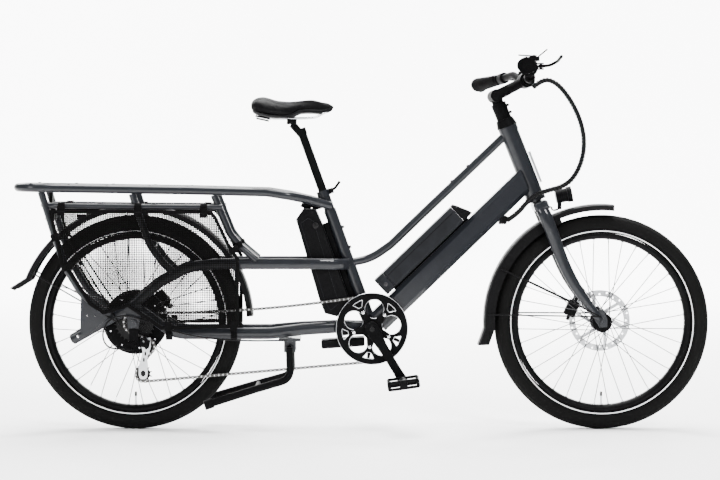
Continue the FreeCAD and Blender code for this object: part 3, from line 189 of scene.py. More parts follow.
VINYL = paint("saddle cover", moulded, 0.52, 0.04,
              shades=(noise(160, 5), (0.0018, 0.0018, 0.002), (0.0036, 0.0036, 0.004)),
              gloss=(noise(12, 4), 0.42, 0.6),
              bumps=[(cells(620), 0.0003, 0.55), (noise(90, 4), 0.0003, 0.35)])
GRIP = paint("grip rubber", (0.0022, 0.0022, 0.0024), 0.8, 0.02,
             shades=(noise(300, 4), (0.0016, 0.0016, 0.0017), (0.0034, 0.0034, 0.0037)),
             bumps=[(cells(420), 0.0006, 0.7), (noise(600, 2), 0.0001, 0.6)])
THREAD = paint("net thread", (0.0018, 0.0018, 0.0018), 0.85, 0.05,
               shades=(noise(900, 2), (0.0012, 0.0012, 0.0012), (0.003, 0.003, 0.003)),
               bumps=[(noise(1500, 2), 0.0002, 0.7)])
STRAP = paint("webbing", (0.0018, 0.0018, 0.0018), 0.85, 0.05,
              shades=(weave, (0.001, 0.001, 0.001), (0.003, 0.003, 0.0032)), bumps=[(weave, 0.0004, 0.8)])
JACKET = paint("cable jacket", (0.002, 0.002, 0.0023), 0.4, 0.1,
               shades=(noise(240, 3), (0.0014, 0.0014, 0.0016), (0.003, 0.003, 0.0034)),
               bumps=[(noise(700, 2), 0.0001, 0.5)])
RED = paint("red lens", (0.42, 0.01, 0.012), 0.15, coat=0.5,
            shades=(cells(380), (0.3, 0.004, 0.006), (0.55, 0.02, 0.022)), bumps=[(cells(380), 0.0006, 0.6)])
LENS = paint("lamp lens", (0.8, 0.83, 0.86), 0.1, coat=0.6, transmission=0.55,
             shades=(cells(260), (0.65, 0.68, 0.72), (0.92, 0.94, 0.96)), bumps=[(cells(260), 0.0008, 0.6)])

NODE_LOOKS = {
    SLATE: ("head_tube", "down_tube", "top_tube", "seat_tube", "mid_stays", "chainstays", "rear_dropouts",
            "deck_frame", "lower_rail", "deck_struts", "fork"),
    BLACK: ("stem_riser", "stem_arm", "handlebar", "front_hub", "hub_motor", "crankset", "chainring", "stand",
            "seatpost", "derailleur_body", "headlight_bracket", "seat_lever", "battery_rails",
            "left_brake_lever", "right_brake_lever"),
    FENDER: ("front_fender", "rear_fender"),
    DARK: ("cassette",),
    PLASTIC: ("controller_housing", "tail_light", "front_caliper", "rear_caliper", "headlight",
              "bar_controls",
              "throttle", "shift_lever", "left_pedal", "right_pedal", "guide_pulley", "tension_pulley",
              "rear_battery"),
    ALLOY: ("front_rack_plate", "derailleur_cage"),
    CHAIN: ("chain", "front_caliper_arm", "rear_caliper_arm"),
    ROTOR: ("front_rotor", "rear_rotor"),
    RUBBER: ("front_tyre", "rear_tyre"),
    GLOSS: ("front_rim", "rear_rim"),
    GRIP: ("left_grip", "right_grip"),
    THREAD: ("left_side_guard", "right_side_guard"),
    SHELL: ("main_battery",),
    VINYL: ("saddle",),
    JACKET: ("cable_bundle", "rear_shift_cable"),
}


def dress_nodes():
    """Gives every CAD node its material and soft shading between its sharp edges."""
    for material, names in NODE_LOOKS.items():
        for name in names:
            node = frame["nodes"][name]
            node.data.materials.clear()
            node.data.materials.append(material)
            node.data.shade_smooth()
            node.data.set_sharp_from_angle(angle=math.radians(35))


dress_nodes()


def soften_edges():
    """Breaks the sharp edges of cast and machined parts, so that they catch the light."""
    for width, names in ((0.0016, ("crankset", "stem_arm", "stem_riser", "seatpost", "controller_housing")),
                         (0.0010, ("front_rack_plate", "rear_dropouts", "front_caliper", "rear_caliper",
                                   "derailleur_body", "bar_controls", "front_caliper_arm", "rear_caliper_arm",
                                   "down_tube", "head_tube", "rear_battery", "tail_light"))):
        for name in names:
            modifier = frame["nodes"][name].modifiers.new("broken edges", "BEVEL")
            modifier.width = width
            modifier.segments = 2
            modifier.limit_method = "ANGLE"
            modifier.angle_limit = math.radians(50)


soften_edges()

# ---------------------------------------------------------------- ways to make pieces


def piece(name, verts, faces, material, body, smooth=True, sharp=40):
    """A mesh that rides on a body, or on none yet, with hard edges above an angle in degrees."""
    mesh = bpy.data.meshes.new(name)
    mesh.from_pydata([tuple(v) for v in verts], [], faces)
    fix = bmesh.new()
    fix.from_mesh(mesh)
    bmesh.ops.recalc_face_normals(fix, faces=fix.faces)
    fix.to_mesh(mesh)
    fix.free()
    if smooth:
        mesh.shade_smooth()
        mesh.set_sharp_from_angle(angle=math.radians(sharp))
    made = bpy.data.objects.new(name, mesh)
    bpy.context.scene.collection.objects.link(made)
    mesh.materials.append(material)
    if body:
        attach(made, body)
    return made


def grid_faces(rows, columns, wrap_rows=False, wrap_columns=False):
    """Quads over rows of points."""
    faces = []
    for i in range(rows if wrap_rows else rows - 1):
        for j in range(columns if wrap_columns else columns - 1):
            a, b = i * columns + j, i * columns + (j + 1) % columns
            c, d = ((i + 1) % rows) * columns + (j + 1) % columns, ((i + 1) % rows) * columns + j
            faces.append((a, b, c, d))
    return faces


def tube_faces(rows, columns):
    """The faces of a closed tube of rings, with both of its ends."""
    last = (rows - 1) * columns
    ends = [tuple(range(columns)), tuple(range(last + columns - 1, last - 1, -1))]
    return grid_faces(rows, columns, wrap_columns=True) + ends


def round_pairs(points):
    """Each point of a closed outline with the one after it."""
    return zip(points, points[1:] + points[:1])


def rectangle(half_long, half_wide):
    return [(-half_long, -half_wide), (half_long, -half_wide), (half_long, half_wide),
            (-half_long, half_wide)]


def cut_corners(half_long, half_high, cut):
    """A rectangle with its four corners cut off."""
    return [(-half_long, -half_high + cut), (-half_long + cut, -half_high), (half_long - cut, -half_high),
            (half_long, -half_high + cut), (half_long, half_high - cut), (half_long - cut, half_high),
            (-half_long + cut, half_high), (-half_long, half_high - cut)]


def both_edges(midline):
    """An outline about a line along the first axis, from (place, offset, half width) rows."""
    return ([(offset + half, -place) for place, offset, half in midline]
            + [(offset - half, -place) for place, offset, half in reversed(midline)])


def around(turn):
    """The way out from the Y axis at an angle from X towards Z."""
    return X * math.cos(turn) + Z * math.sin(turn)


def tilted(degrees):
    """The X and Z ways, tipped up by an angle about Y."""
    lean = math.radians(degrees)
    return Vector((math.cos(lean), 0, math.sin(lean))), Vector((-math.sin(lean), 0, math.cos(lean)))


def lathe(profile, centre, axis=Y, steps=96):
    """A closed ring of a profile about an axis. Each profile point is (radius, place along the axis)."""
    side = axis.orthogonal().normalized()
    other = axis.cross(side)
    verts = []
    for n in range(steps):
        turn = 2 * math.pi * n / steps
        out = side * math.cos(turn) + other * math.sin(turn)
        verts += [centre + out * radius + axis * place for radius, place in profile]
    return verts, grid_faces(steps, len(profile), True, True)


def turned(name, profile, centre, material, body, axis=Y, steps=96, sharp=40):
    """A closed body of revolution."""
    return piece(name, *lathe(profile, centre, axis, steps), material, body, sharp=sharp)


def mirrored(profile, side):
    """A profile that is turned the other way along its axis where the side is -1."""
    return [(radius, place * side) for radius, place in profile]


def joined(parts):
    """One list of points and faces from several."""
    verts, faces = [], []
    for some_verts, some_faces in parts:
        base = len(verts)
        verts += some_verts
        faces += [tuple(base + index for index in face) for face in some_faces]
    return verts, faces


def bar(start, end, radius, end_radius=None, sides=10):
    """The points and faces of a round bar with flat ends."""
    end_radius = radius if end_radius is None else end_radius
    way = (end - start).normalized()
    side = way.orthogonal().normalized()
    other = way.cross(side)
    verts = []
    for place, reach in ((start, radius), (end, end_radius)):
        for n in range(sides):
            turn = 2 * math.pi * n / sides
            verts.append(place + (side * math.cos(turn) + other * math.sin(turn)) * reach)
    return verts, tube_faces(2, sides)


def slab(outline, thickness, origin, across, up):
    """The points and faces of a flat piece: its outline is (along, up) in a plane, thick to both sides."""
    normal = across.cross(up).normalized()
    verts = [origin + across * a + up * b + normal * side
             for side in (-thickness / 2, thickness / 2) for a, b in outline]
    return verts, tube_faces(2, len(outline))


def way_at(points, n):
    """The way a line runs at one of its points."""
    return (points[min(n + 1, len(points) - 1)] - points[max(n - 1, 0)]).normalized()


def swept(points, outline, upright=None):
    """The points and faces of a section carried along a line. The outline is (side, up) about the line."""
    verts, side = [], None
    for n, point in enumerate(points):
        ahead = way_at(points, n)
        if upright is not None:
            side = ahead.cross(upright)
        elif side is None:
            side = ahead.orthogonal()
        else:
            side = side - ahead * side.dot(ahead)
        side.normalize()
        up = side.cross(ahead)
        verts += [point + side * a + up * b for a, b in outline]
    return verts, tube_faces(len(points), len(outline))


def circle(radius, sides=12):
    return [(radius * math.cos(2 * math.pi * n / sides), radius * math.sin(2 * math.pi * n / sides))
            for n in range(sides)]


def nurbs(name, points, radius):
    """A smooth open spline through a route, with a round section."""
    curve = bpy.data.curves.new(name, "CURVE")
    curve.dimensions = "3D"
    spline = curve.splines.new("NURBS")
    spline.points.add(len(points) - 1)
    for control, point in zip(spline.points, points):
        control.co = (*point, 1)
    spline.order_u = 3
    spline.use_endpoint_u = True
    spline.resolution_u = 10
    curve.bevel_depth = radius
    curve.bevel_resolution = 4
    curve.use_fill_caps = True
    made = bpy.data.objects.new(name, curve)
    bpy.context.scene.collection.objects.link(made)
    return made


def line_of(cord):
    """The points of a cord's own spline, in order."""
    bare = cord.copy()
    bare.data = cord.data.copy()
    bare.data.bevel_depth = 0
    bpy.context.scene.collection.objects.link(bare)
    mesh = bpy.data.meshes.new_from_object(bare)
    points = [v.co.copy() for v in mesh.vertices]
    bpy.data.objects.remove(bare)
    return points


def bevelled(obj, width, segments=2):
    """Rounds an object's hard edges."""
    modifier = obj.modifiers.new("rounded edges", "BEVEL")
    modifier.width = width
    modifier.segments = segments
    modifier.limit_method = "ANGLE"
    return obj


# ---------------------------------------------------------------- camera, light and floor


def studio():
    """A pale floor that curves up into a far backdrop, and broad soft lights."""
    floor_mesh = bpy.data.meshes.new("floor")
    reach, bend, bend_steps = 9.0, 2.5, 8
    rows = [(-reach, 0), (reach - bend, 0)]
    for step in range(1, bend_steps + 1):
        turn = step * math.pi / (2 * bend_steps)
        rows.append((reach - bend + bend * math.sin(turn), bend - bend * math.cos(turn)))
    rows.append((reach, reach))
    verts = [(x, y, z) for y, z in rows for x in (-2 * reach, 2 * reach)]
    floor_mesh.from_pydata(verts, [], grid_faces(len(rows), 2))
    floor_mesh.shade_smooth()
    floor = bpy.data.objects.new("floor", floor_mesh)
    bpy.context.scene.collection.objects.link(floor)
    floor_mesh.materials.append(paint("pale floor", (0.95, 0.95, 0.95), 0.9, 0.1,
                                      shades=(noise(0.4, 2), (0.94, 0.94, 0.94), (0.96, 0.96, 0.96))))
    for name, spot, aim, side, power in (
            ("key light", (2.4, -4.6, 4.4), (0.2, 0, 0.5), 1.6, 420),
            ("fill light", (-3.6, -4.0, 2.4), (-0.3, 0, 0.5), 1.4, 160),
            ("top light", (0, 0.4, 5.0), (0, 0, 0.4), 3.0, 800),
            ("left backdrop light", (-3.4, 5.4, 4.6), (-1.6, 8.2, 0.4), 2.2, 1500),
            ("right backdrop light", (3.4, 5.4, 4.6), (1.6, 8.2, 0.4), 2.2, 1500),
            ("floor light", (0, 3.4, 5.0), (0, 3.8, 0), 3.0, 600)):
        light = bpy.data.lights.new(name, "AREA")
        light.size = side
        light.energy = power
        lamp = bpy.data.objects.new(name, light)
        lamp.location = spot
        lamp.rotation_euler = (Vector(aim) - Vector(spot)).to_track_quat("-Z", "Y").to_euler()
        bpy.context.scene.collection.objects.link(lamp)
    world = bpy.data.worlds.new("soft white")
    world.use_nodes = True
    background = world.node_tree.nodes["Background"].inputs
    background["Color"].default_value = (1, 1, 1, 1)
    background["Strength"].default_value = 0.35
    bpy.context.scene.world = world


def add_camera():
    """A camera straight out from the rider's right. The width that it sees is taken at the middle plane."""
    distance, eye, seen, sensor = 6.0, 0.85, 2.124, 36
    picture_middle = 0.5556
    camera_data = bpy.data.cameras.new("camera")
    camera_data.sensor_width = sensor
    camera_data.lens = sensor * distance / seen
    camera_data.shift_y = (picture_middle - eye) / seen
    camera = bpy.data.objects.new("camera", camera_data)
    camera.location = (0.002, -distance, eye)
    camera.rotation_euler = (math.radians(90), 0, 0)
    bpy.context.scene.collection.objects.link(camera)
    bpy.context.scene.camera = camera


add_camera()
studio()

# ---------------------------------------------------------------- wheels

TYRE_RADIUS, TYRE_SECTION, CASING = 0.315, 0.030, 0.0045
TREAD_MIDDLE = TYRE_RADIUS - TYRE_SECTION
RIM_INNER, RIM_OUTER, RIM_HALF_WIDTH = 0.244, 0.262, 0.0175
SPOKES = 36
STRIPE = (0.2668, 0.2695), (0.0001, 0.0005)
RIB = (0.2735, 0.2745), (-0.0005, 0.0007)


def tread_depth(around, lean):
    """How deep the tread is cut at a place around the wheel (in block pitches) and across it (radians)."""
    slant = around + 2.4 * abs(lean) + (0.5 if lean > 0 else 0)
    across_cut = slant % 1 < 0.26 and abs(lean) > 0.16
    rings = any(abs(abs(lean) - ring) < 0.055 for ring in (0.16, 0.55))
    if abs(lean) > 1.02:
        return 0.0012
    return 0.0016 if across_cut or rings else 0.0


def side_band(radii, heights, side):
    """The profile of a raised band on a tyre's side wall, between two radii and two heights over the wall."""
    rows = []
    for radius in radii:
        wide = math.sqrt(TYRE_SECTION ** 2 - (TREAD_MIDDLE - radius) ** 2)
        rows.append([(radius, side * (wide + height)) for height in heights])
    return rows[0] + rows[1][::-1]


def tyre(label, centre, body):
    """A tyre with a fine block tread and a closed casing."""
    pitches, per_pitch, across = 110, 5, 46
    edge = math.acos(-(TREAD_MIDDLE - RIM_OUTER) / TYRE_SECTION)
    steps = pitches * per_pitch
    verts = []
    for n in range(steps):
        out = around(2 * math.pi * n / steps)
        for side_sign in (1, -1):
            for m in range(across):
                lean = edge * (2 * m / (across - 1) - 1) * side_sign
                depth = tread_depth(n / per_pitch, lean) if side_sign > 0 else CASING
                reach = TYRE_SECTION - depth
                radius = TREAD_MIDDLE + reach * math.cos(lean)
                verts.append(centre + out * radius + Y * (reach * math.sin(lean)))
    made = piece(label + "_tyre_tread", verts, grid_faces(steps, 2 * across, True, True), RUBBER, body,
                 sharp=60)
    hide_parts(label + "_tyre")
    for side, name in SIDES:
        for kind, band, material in (("stripe", STRIPE, WHITE), ("rib", RIB, RUBBER)):
            turned(f"{label}_tyre_{kind}_{name}", side_band(*band, side), centre, material, body, steps=180)


def rim(label, centre, body, flange_radius, flange_y, wind):
    """A box-section rim with crossed spokes, nipples and a valve."""
    inner, outer, wide = RIM_INNER, RIM_OUTER, RIM_HALF_WIDTH
    half = [(inner, -0.006), (inner + 0.0015, -0.010), (inner + 0.007, -wide + 0.0008),
            (inner + 0.009, -wide),
            (outer - 0.0015, -wide), (outer, -wide + 0.0008), (outer, -wide + 0.0028),
            (inner + 0.012, -0.0135),
            (inner + 0.010, -0.009)]
    profile = half + [(radius, -place) for radius, place in reversed(half)]
    hoop = turned(label + "_rim_hoop", profile, centre, GLOSS, body, steps=144, sharp=30)
    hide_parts(label + "_rim")
    spokes, nipples, eyelets = [], [], []
    for n in range(SPOKES):
        rim_angle = 2 * math.pi * (n + 0.5) / SPOKES
        side = 1 if n % 2 else -1
        lead = wind if n % 4 < 2 else -wind
        out = X * math.sin(rim_angle) + Z * math.cos(rim_angle)
        foot = centre + (X * math.sin(rim_angle + lead) + Z * math.cos(rim_angle + lead)) * flange_radius
        foot += Y * (side * flange_y)
        tip = centre + out * (inner - 0.0004) + Y * (side * 0.003)
        way = (tip - foot).normalized()
        spokes.append(bar(foot, tip, 0.0012, sides=8))
        spokes.append(bar(foot - way * 0.001, foot + way * 0.0015, 0.0021, sides=8))
        nipples.append(bar(tip - way * 0.012, tip, 0.0017, 0.0021, sides=6))
        eyelets.append(bar(centre + out * (inner - 0.0012), centre + out * inner, 0.0032, 0.0042, sides=12))
    piece(label + "_spokes", *joined(spokes), SPOKE, body)
    piece(label + "_nipples", *joined(nipples), STEEL, body, sharp=30)
    piece(label + "_eyelets", *joined(eyelets), GLOSS, body, sharp=30)

    def along_valve(low, high, radius, tip=None, sides=14):
        return bar(centre - Z * low, centre - Z * high, radius, tip, sides)
    threads = [along_valve(0.2385 - 0.0016 * n, 0.2377 - 0.0016 * n, 0.0032) for n in range(12)]
    stem = [along_valve(0.243, 0.214, 0.0028), *threads, along_valve(0.243, 0.2405, 0.0046, sides=6)]
    piece(label + "_valve_stem", *joined(stem), ALLOY, body, sharp=30)
    cap = [along_valve(0.219, 0.209, 0.0036, sides=12), along_valve(0.209, 0.206, 0.0036, 0.0022, 12)]
    piece(label + "_valve_cap", *joined(cap), PLASTIC, body, sharp=30)


tyre("front", front_axle, "front_wheel")
tyre("rear", rear_axle, "rear_wheel")
rim("front", front_axle, "front_wheel", 0.025, 0.029, math.radians(58))
rim("rear", rear_axle, "rear_wheel", 0.089, 0.020, math.radians(14))


def screw_heads(name, spots, radius, height, way, material, body):
    """Domed screw heads with a hexagon socket."""
    made = []
    for spot in spots:
        shoulder, top = spot + way * height * 0.7, spot + way * height
        made += [bar(spot, shoulder, radius, sides=16), bar(shoulder, top, radius, radius * 0.78, sides=16),
                 bar(top, spot + way * (height + 0.0001), radius * 0.45, sides=6)]
    return piece(name, *joined(made), material, body, sharp=30)


def ring_of_points(centre, radius, count, first=0.0):
    return [centre + around(first + 2 * math.pi * n / count) * radius for n in range(count)]


for screws, hub, way, place, circle_radius, count, head, high in (
        ("front_rotor_screws", front_axle, Y, 0.040, 0.022, 6, 0.0042, 0.003),
        ("rear_rotor_screws", rear_axle, Y, 0.043, 0.022, 6, 0.0042, 0.003),
        ("motor_cover_screws", rear_axle, Y, 0.0236, 0.076, 9, 0.003, 0.002),
        ("motor_cover_screws_right", rear_axle, -Y, 0.0232, 0.076, 9, 0.003, 0.002)):
    wheel = "front_wheel" if hub is front_axle else "rear_wheel"
    screw_heads(screws, ring_of_points(hub + way * place, circle_radius, count), head, high, way, STEEL,
                wheel)

# ---------------------------------------------------------------- chain

CHAIN_Y, PITCH, SLACK = -0.046, 0.0127, 0.016
RING_TEETH, COG_TEETH, PULLEY_TEETH = 48, 15, 11


def in_chain_line(point):
    return Vector((point.x, CHAIN_Y, point.z))


def pitch_radius(teeth):
    return PITCH / (2 * math.sin(math.pi / teeth))


def tangent(start, start_radius, start_side, end, end_radius, end_side):
    """The ends of a straight run between two circles. The side is -1 where the run turns left round them."""
    reach = end - start
    lean_out = math.acos((start_side * start_radius - end_side * end_radius) / reach.length)
    heading = math.atan2(reach.z, reach.x) + lean_out
    normal = around(heading)
    return start + normal * (start_side * start_radius), end + normal * (end_side * end_radius)


def chain_line():
    """The chain's middle line: over the ring, back to the cog, and round the two pulleys."""
    guide, tension = joint_at("guide_pulley_spin"), joint_at("tension_pulley_spin")
    loop = [(in_chain_line(centre), pitch_radius(teeth), side) for centre, teeth, side in (
        (bottom_bracket, RING_TEETH, -1), (rear_axle, COG_TEETH, -1), (guide, PULLEY_TEETH, 1),
        (tension, PULLEY_TEETH, -1))]
    run_steps, turn_steps = 120, 90
    runs = [tangent(*loop[n], *loop[(n + 1) % 4]) for n in range(4)]
    points = []
    for n, (leave, arrive) in enumerate(runs):
        sag = SLACK if n == 0 else 0
        for step in range(run_steps):
            share = step / run_steps
            points.append(leave + (arrive - leave) * share - Z * (4 * sag * share * (1 - share)))
        centre, radius, side = loop[(n + 1) % 4]
        leaving = runs[(n + 1) % 4][0]
        first = math.atan2(arrive.z - centre.z, arrive.x - centre.x)
        last = math.atan2(leaving.z - centre.z, leaving.x - centre.x)
        swing = (last - first) % (2 * math.pi) if side < 0 else -((first - last) % (2 * math.pi))
        points += [centre + around(first + swing * step / turn_steps) * radius for step in range(turn_steps)]
    return points


def evenly(points, count, closed=True):
    """Points at equal distances along a line."""
    line = points + points[:1] if closed else points
    lengths = [0.0]
    for a, b in zip(line, line[1:]):
        lengths.append(lengths[-1] + (b - a).length)
    made, at = [], 0
    gaps = count if closed else count - 1
    for n in range(count):
        goal = min(lengths[-1] * n / gaps, lengths[-1] - 1e-9)
        while lengths[at + 1] < goal:
            at += 1
        share = (goal - lengths[at]) / max(lengths[at + 1] - lengths[at], 1e-9)
        made.append(line[at].lerp(line[at + 1], share))
    return made, lengths[-1]


def link_outline(length):
    """The waisted outline of a chain plate, as (along, up) from its first pin."""
    made, end_radius, waist = [], 0.0041, 0.0031
    for centre, start in ((0.0, 90), (length, -90)):
        for n in range(9):
            angle = math.radians(start + 22.5 * n)
            made.append((centre + end_radius * math.cos(angle), end_radius * math.sin(angle)))
        made.append((length / 2, waist if centre == length else -waist))
    return made


def chain():
    line = chain_line()
    _, total = evenly(line, 10)
    count = 2 * round(total / PITCH / 2)
    pins, _ = evenly(line, count)
    plates, rollers = [], []
    for n, pin in enumerate(pins):
        ahead = pins[(n + 1) % count] - pin
        up = Y.cross(ahead).normalized()
        place = 0.0032 if n % 2 else 0.0023
        for side in (-1, 1):
            plates.append(slab(link_outline(ahead.length), 0.0009, pin + Y * (side * place),
                               ahead.normalized(), up))
        rollers.append(bar(pin - Y * 0.0018, pin + Y * 0.0018, 0.0038, sides=12))
        rollers.append(bar(pin - Y * 0.0039, pin + Y * 0.0039, 0.0018, sides=10))
    links = piece("chain_plates", *joined(plates), CHAIN, "frame", sharp=30)
    piece("chain_rollers", *joined(rollers), STEEL, "frame", sharp=30)
    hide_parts("chain")


chain()

# ---------------------------------------------------------------- cranks and pedals

RING_AT = in_chain_line(bottom_bracket)
BOLT_CIRCLE, FIRST_BOLT = 0.054, math.radians(47)
WINDOW_CIRCLE, WINDOW_RADIUS, SLOT_CIRCLE = 0.058, 0.028, 0.079
GUARD_RADIUS, LIP_STEPS = 0.1052, 72
CRANK_LENGTH, CRANK_ANGLE = 0.175, 59
crank_reach = tilted(-CRANK_ANGLE)[0] * CRANK_LENGTH
centre_line = Vector((bottom_bracket.x, 0, bottom_bracket.z))

CRANK_HALF_WIDTHS = mm((-21.5, 5), (-19.5, 11), (-15, 15.5), (-8, 18.8), (0, 20), (16, 19.5), (34, 17),
                       (60, 14.2), (100, 12.8), (140, 12.8), (160, 13.8), (172, 14.6), (181, 13),
                       (187, 8.5), (189, 3))
CRANK_THICK, CRANK_PLACE = 0.0115, 0.0686
SPIDER_STEPS, SPIDER_HUB, SPIDER_ARM, SPIDER_THICK, SPIDER_OUT = 120, 0.0285, 0.0625, 0.0040, 0.0098


def forged_arms():
    """The broad forged faces of the two crank arms and the five-armed spider under the guard's bolts."""
    for side, name in SIDES:
        out = crank_reach.normalized() * -side
        across = out.cross(Y)
        outline = [(along, half) for along, half in CRANK_HALF_WIDTHS]
        outline += [(along, -half) for along, half in reversed(CRANK_HALF_WIDTHS)]
        arm = slab(outline, CRANK_THICK, centre_line + Y * (side * CRANK_PLACE), out, across)
        bevelled(piece(f"crank_arm_face_{name}", *arm, BLACK, "cranks", smooth=False), 0.0034, 4)
    star = []
    for n in range(SPIDER_STEPS):
        turn = 2 * math.pi * n / SPIDER_STEPS
        share = (0.5 + 0.5 * math.cos(5 * turn)) ** 2.2
        reach = SPIDER_HUB + (SPIDER_ARM - SPIDER_HUB) * share
        star.append((reach * math.cos(turn + FIRST_BOLT), reach * math.sin(turn + FIRST_BOLT)))
    spider = slab(star, SPIDER_THICK, RING_AT - Y * SPIDER_OUT, X, Z)
    bevelled(piece("crank_spider", *spider, BLACK, "cranks", smooth=False), 0.0014, 3)


forged_arms()


def chainset_details():
    """The bolts and washers of the cranks, and bright metal rings round the guard disc's windows, slots and
    rim: painted highlights of its chamfered edges.
    """
    bolts = ring_of_points(RING_AT - Y * 0.0122, BOLT_CIRCLE, 5, FIRST_BOLT)
    screw_heads("chainring_bolts", bolts, 0.0046, 0.0016, -Y, STEEL, "cranks")
    bolt_head = mm((0.1, -1), (7.5, -1), (7.5, 1.2), (6.2, 2.2), (3.6, 2.2), (3.6, 0.4), (0.1, 0.4))
    washer = mm((6.2, 77.2), (10.5, 77.2), (10.5, 79.6), (6.2, 79.6))
    for side, name in SIDES:
        hub_face, pedal_eye = centre_line + Y * (side * 0.0762), centre_line + crank_reach * -side
        turned(f"crank_bolt_{name}", mirrored(bolt_head, side), hub_face, DARK, "cranks", steps=48, sharp=30)
        turned(f"pedal_washer_{name}", mirrored(washer, side), pedal_eye, STEEL, "cranks", steps=40, sharp=30)
    # Bright metal rings on the guard's window, slot and rim edges are painted highlights, standing for the
    # light that the chamfers catch.
    guard = RING_AT - Y * 0.0075
    lip = mm((-0.9, 1.2), (0.3, 0.3), (0.4, -0.6), (-0.2, -1), (-0.9, -0.4))
    inner_lip = [(WINDOW_RADIUS + reach, place) for reach, place in lip]
    outer_lip = [(GUARD_RADIUS - reach - 0.0006, place) for reach, place in lip]
    windows = ring_of_points(guard, WINDOW_CIRCLE, 5, FIRST_BOLT + math.pi / 5)
    rings = [lathe(inner_lip, spot, Y, LIP_STEPS) for spot in windows]
    rings.append(lathe(outer_lip, guard, Y, LIP_STEPS))
    slot_outline = mm((-9, -5), (-9, 5), (7, 16), (9, 9), (9, -9), (7, -16))
    for n in range(5):
        out = around(FIRST_BOLT + 2 * math.pi * n / 5)
        sideways = Y.cross(out)
        corners = [guard + out * (SLOT_CIRCLE + a) + sideways * b for a, b in slot_outline]
        rings += [bar(start, end, 0.0008, sides=6) for start, end in round_pairs(corners)]
    piece("guard_disc_painted_highlight_rings", *joined(rings), ALLOY, "cranks", sharp=50)


chainset_details()


PEDAL_FRONT, PEDAL_SIDE = 0.0418, 0.0435


def pedal(side, name):
    """A platform pedal: side plates with open windows, toothed treads, webs and a barrel."""
    along, up = tilted(8)
    centre = centre_line + crank_reach * -side + Y * (side * 0.131)
    body = name + "_platform"

    def block(x, y, z, long, wide, high, cut):
        outline = cut_corners(long / 2, high / 2, cut)
        return slab(outline, wide, centre + along * x + Y * y + up * z, along, up)

    blocks = []
    for y in (-PEDAL_SIDE, PEDAL_SIDE):
        blocks += [block(0, y, z, 0.084, 0.008, 0.0080, 0.0015) for z in (-0.0096, 0.0096)]
        blocks += [block(x, y, 0, 0.010, 0.008, 0.027, 0.0042) for x in (-PEDAL_FRONT, PEDAL_FRONT)]
        blocks.append(block(0, y, 0, 0.020, 0.008, 0.024, 0.003))
    blocks += [block(x, 0, 0, 0.009, 0.084, 0.022, 0.003) for x in (-PEDAL_FRONT, PEDAL_FRONT)]
    blocks += [block(x, y, 0, 0.032, 0.006, 0.014, 0.002) for x in (-0.022, 0.022) for y in (-0.016, 0.016)]
    frame_piece = piece(f"{name}_pedal_frame", *joined(blocks), PLASTIC, body, smooth=False)
    bevelled(frame_piece, 0.0012, 2)
    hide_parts(f"{name}_pedal")
    half = mm((6.3, -46), (10.5, -46), (12.5, -42), (12.5, -20), (10.8, -16))
    barrel = half + [(radius, -place) for radius, place in reversed(half)]
    turned(f"{name}_pedal_barrel", barrel, centre, PLASTIC, body, steps=40)
    pins = []
    for x in (-PEDAL_FRONT, PEDAL_FRONT):
        for n in range(8):
            spot = centre + along * x + Y * (-0.0385 + 0.011 * n)
            pins += [bar(spot + up * (way * 0.0110), spot + up * (way * 0.0142), 0.0026, 0.0013, sides=10)
                     for way in (-1, 1)]
    piece(f"{name}_pedal_teeth", *joined(pins), PLASTIC, body, sharp=30)
    cap = mm((0.1, 45), (11.5, 45), (11.5, 48.5), (8.5, 50.5), (0.1, 51.2))
    turned(f"{name}_pedal_cap", mirrored(cap, side), centre, PLASTIC, body, steps=40)


for pedal_side, pedal_name in SIDES:
    pedal(pedal_side, pedal_name)

# ---------------------------------------------------------------- derailleur cage

CAGE_MIDLINE = mm((0, 4, 15), (12, 5, 15.5), (26, 7, 13.5), (40, 6, 10), (54, 2, 8.8), (68, -1, 10),
                  (82, -2, 12.5), (94, -2, 13), (108, -2, 12.8), (116, -2, 10.8), (121, -2, 6.2))

CAGE_WINDOWS = mm((26, 7, 16, 8.5), (46, 4.5, 12, 5), (64, 0, 12, 5), (104, -2, 17.5, 13.5))


def cage_sides():
    """The two pressed sides of the chain cage: broad at the pivot, waisted, and broad at the lower pulley."""
    top = in_chain_line(joint_at("cage_swing")) + Z * 0.010
    outline = both_edges(CAGE_MIDLINE)
    sides = [slab(outline, 0.0022, top + Y * place, X, Z) for place in (-0.0070, 0.0070)]
    made = piece("derailleur_cage_sides", *joined(sides), ALLOY, "cage", smooth=False)
    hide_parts("derailleur_cage")
    windows = [slab(cut_corners(wide / 2, long / 2, wide * 0.35), 0.0006,
                    top + Vector((lean, -0.0083, -drop)), X, Z)
               for drop, lean, long, wide in CAGE_WINDOWS]
    piece("derailleur_cage_windows", *joined(windows), DARK, "cage", smooth=False)


cage_sides()

# ---------------------------------------------------------------- saddle

SADDLE_TOP = mm((-324, 956), (-318, 970), (-308, 980), (-293, 982), (-263, 974), (-249, 969), (-234, 966),
                (-204, 964), (-175, 967), (-145, 972), (-116, 973), (-101, 972), (-86, 969), (-74, 962),
                (-66, 954))
SADDLE_BASE = mm((-324, 950), (-316, 936), (-308, 929), (-293, 924), (-263, 917), (-234, 915),
                 (-215, 915), (-195, 920), (-175, 930), (-145, 931), (-116, 929), (-101, 931), (-86, 936),
                 (-74, 945), (-66, 950))
SADDLE_WIDE = mm((-324, 36), (-318, 72), (-305, 92), (-285, 99), (-250, 94), (-210, 70), (-170, 41),
                 (-130, 28), (-86, 23), (-72, 18), (-66, 10))


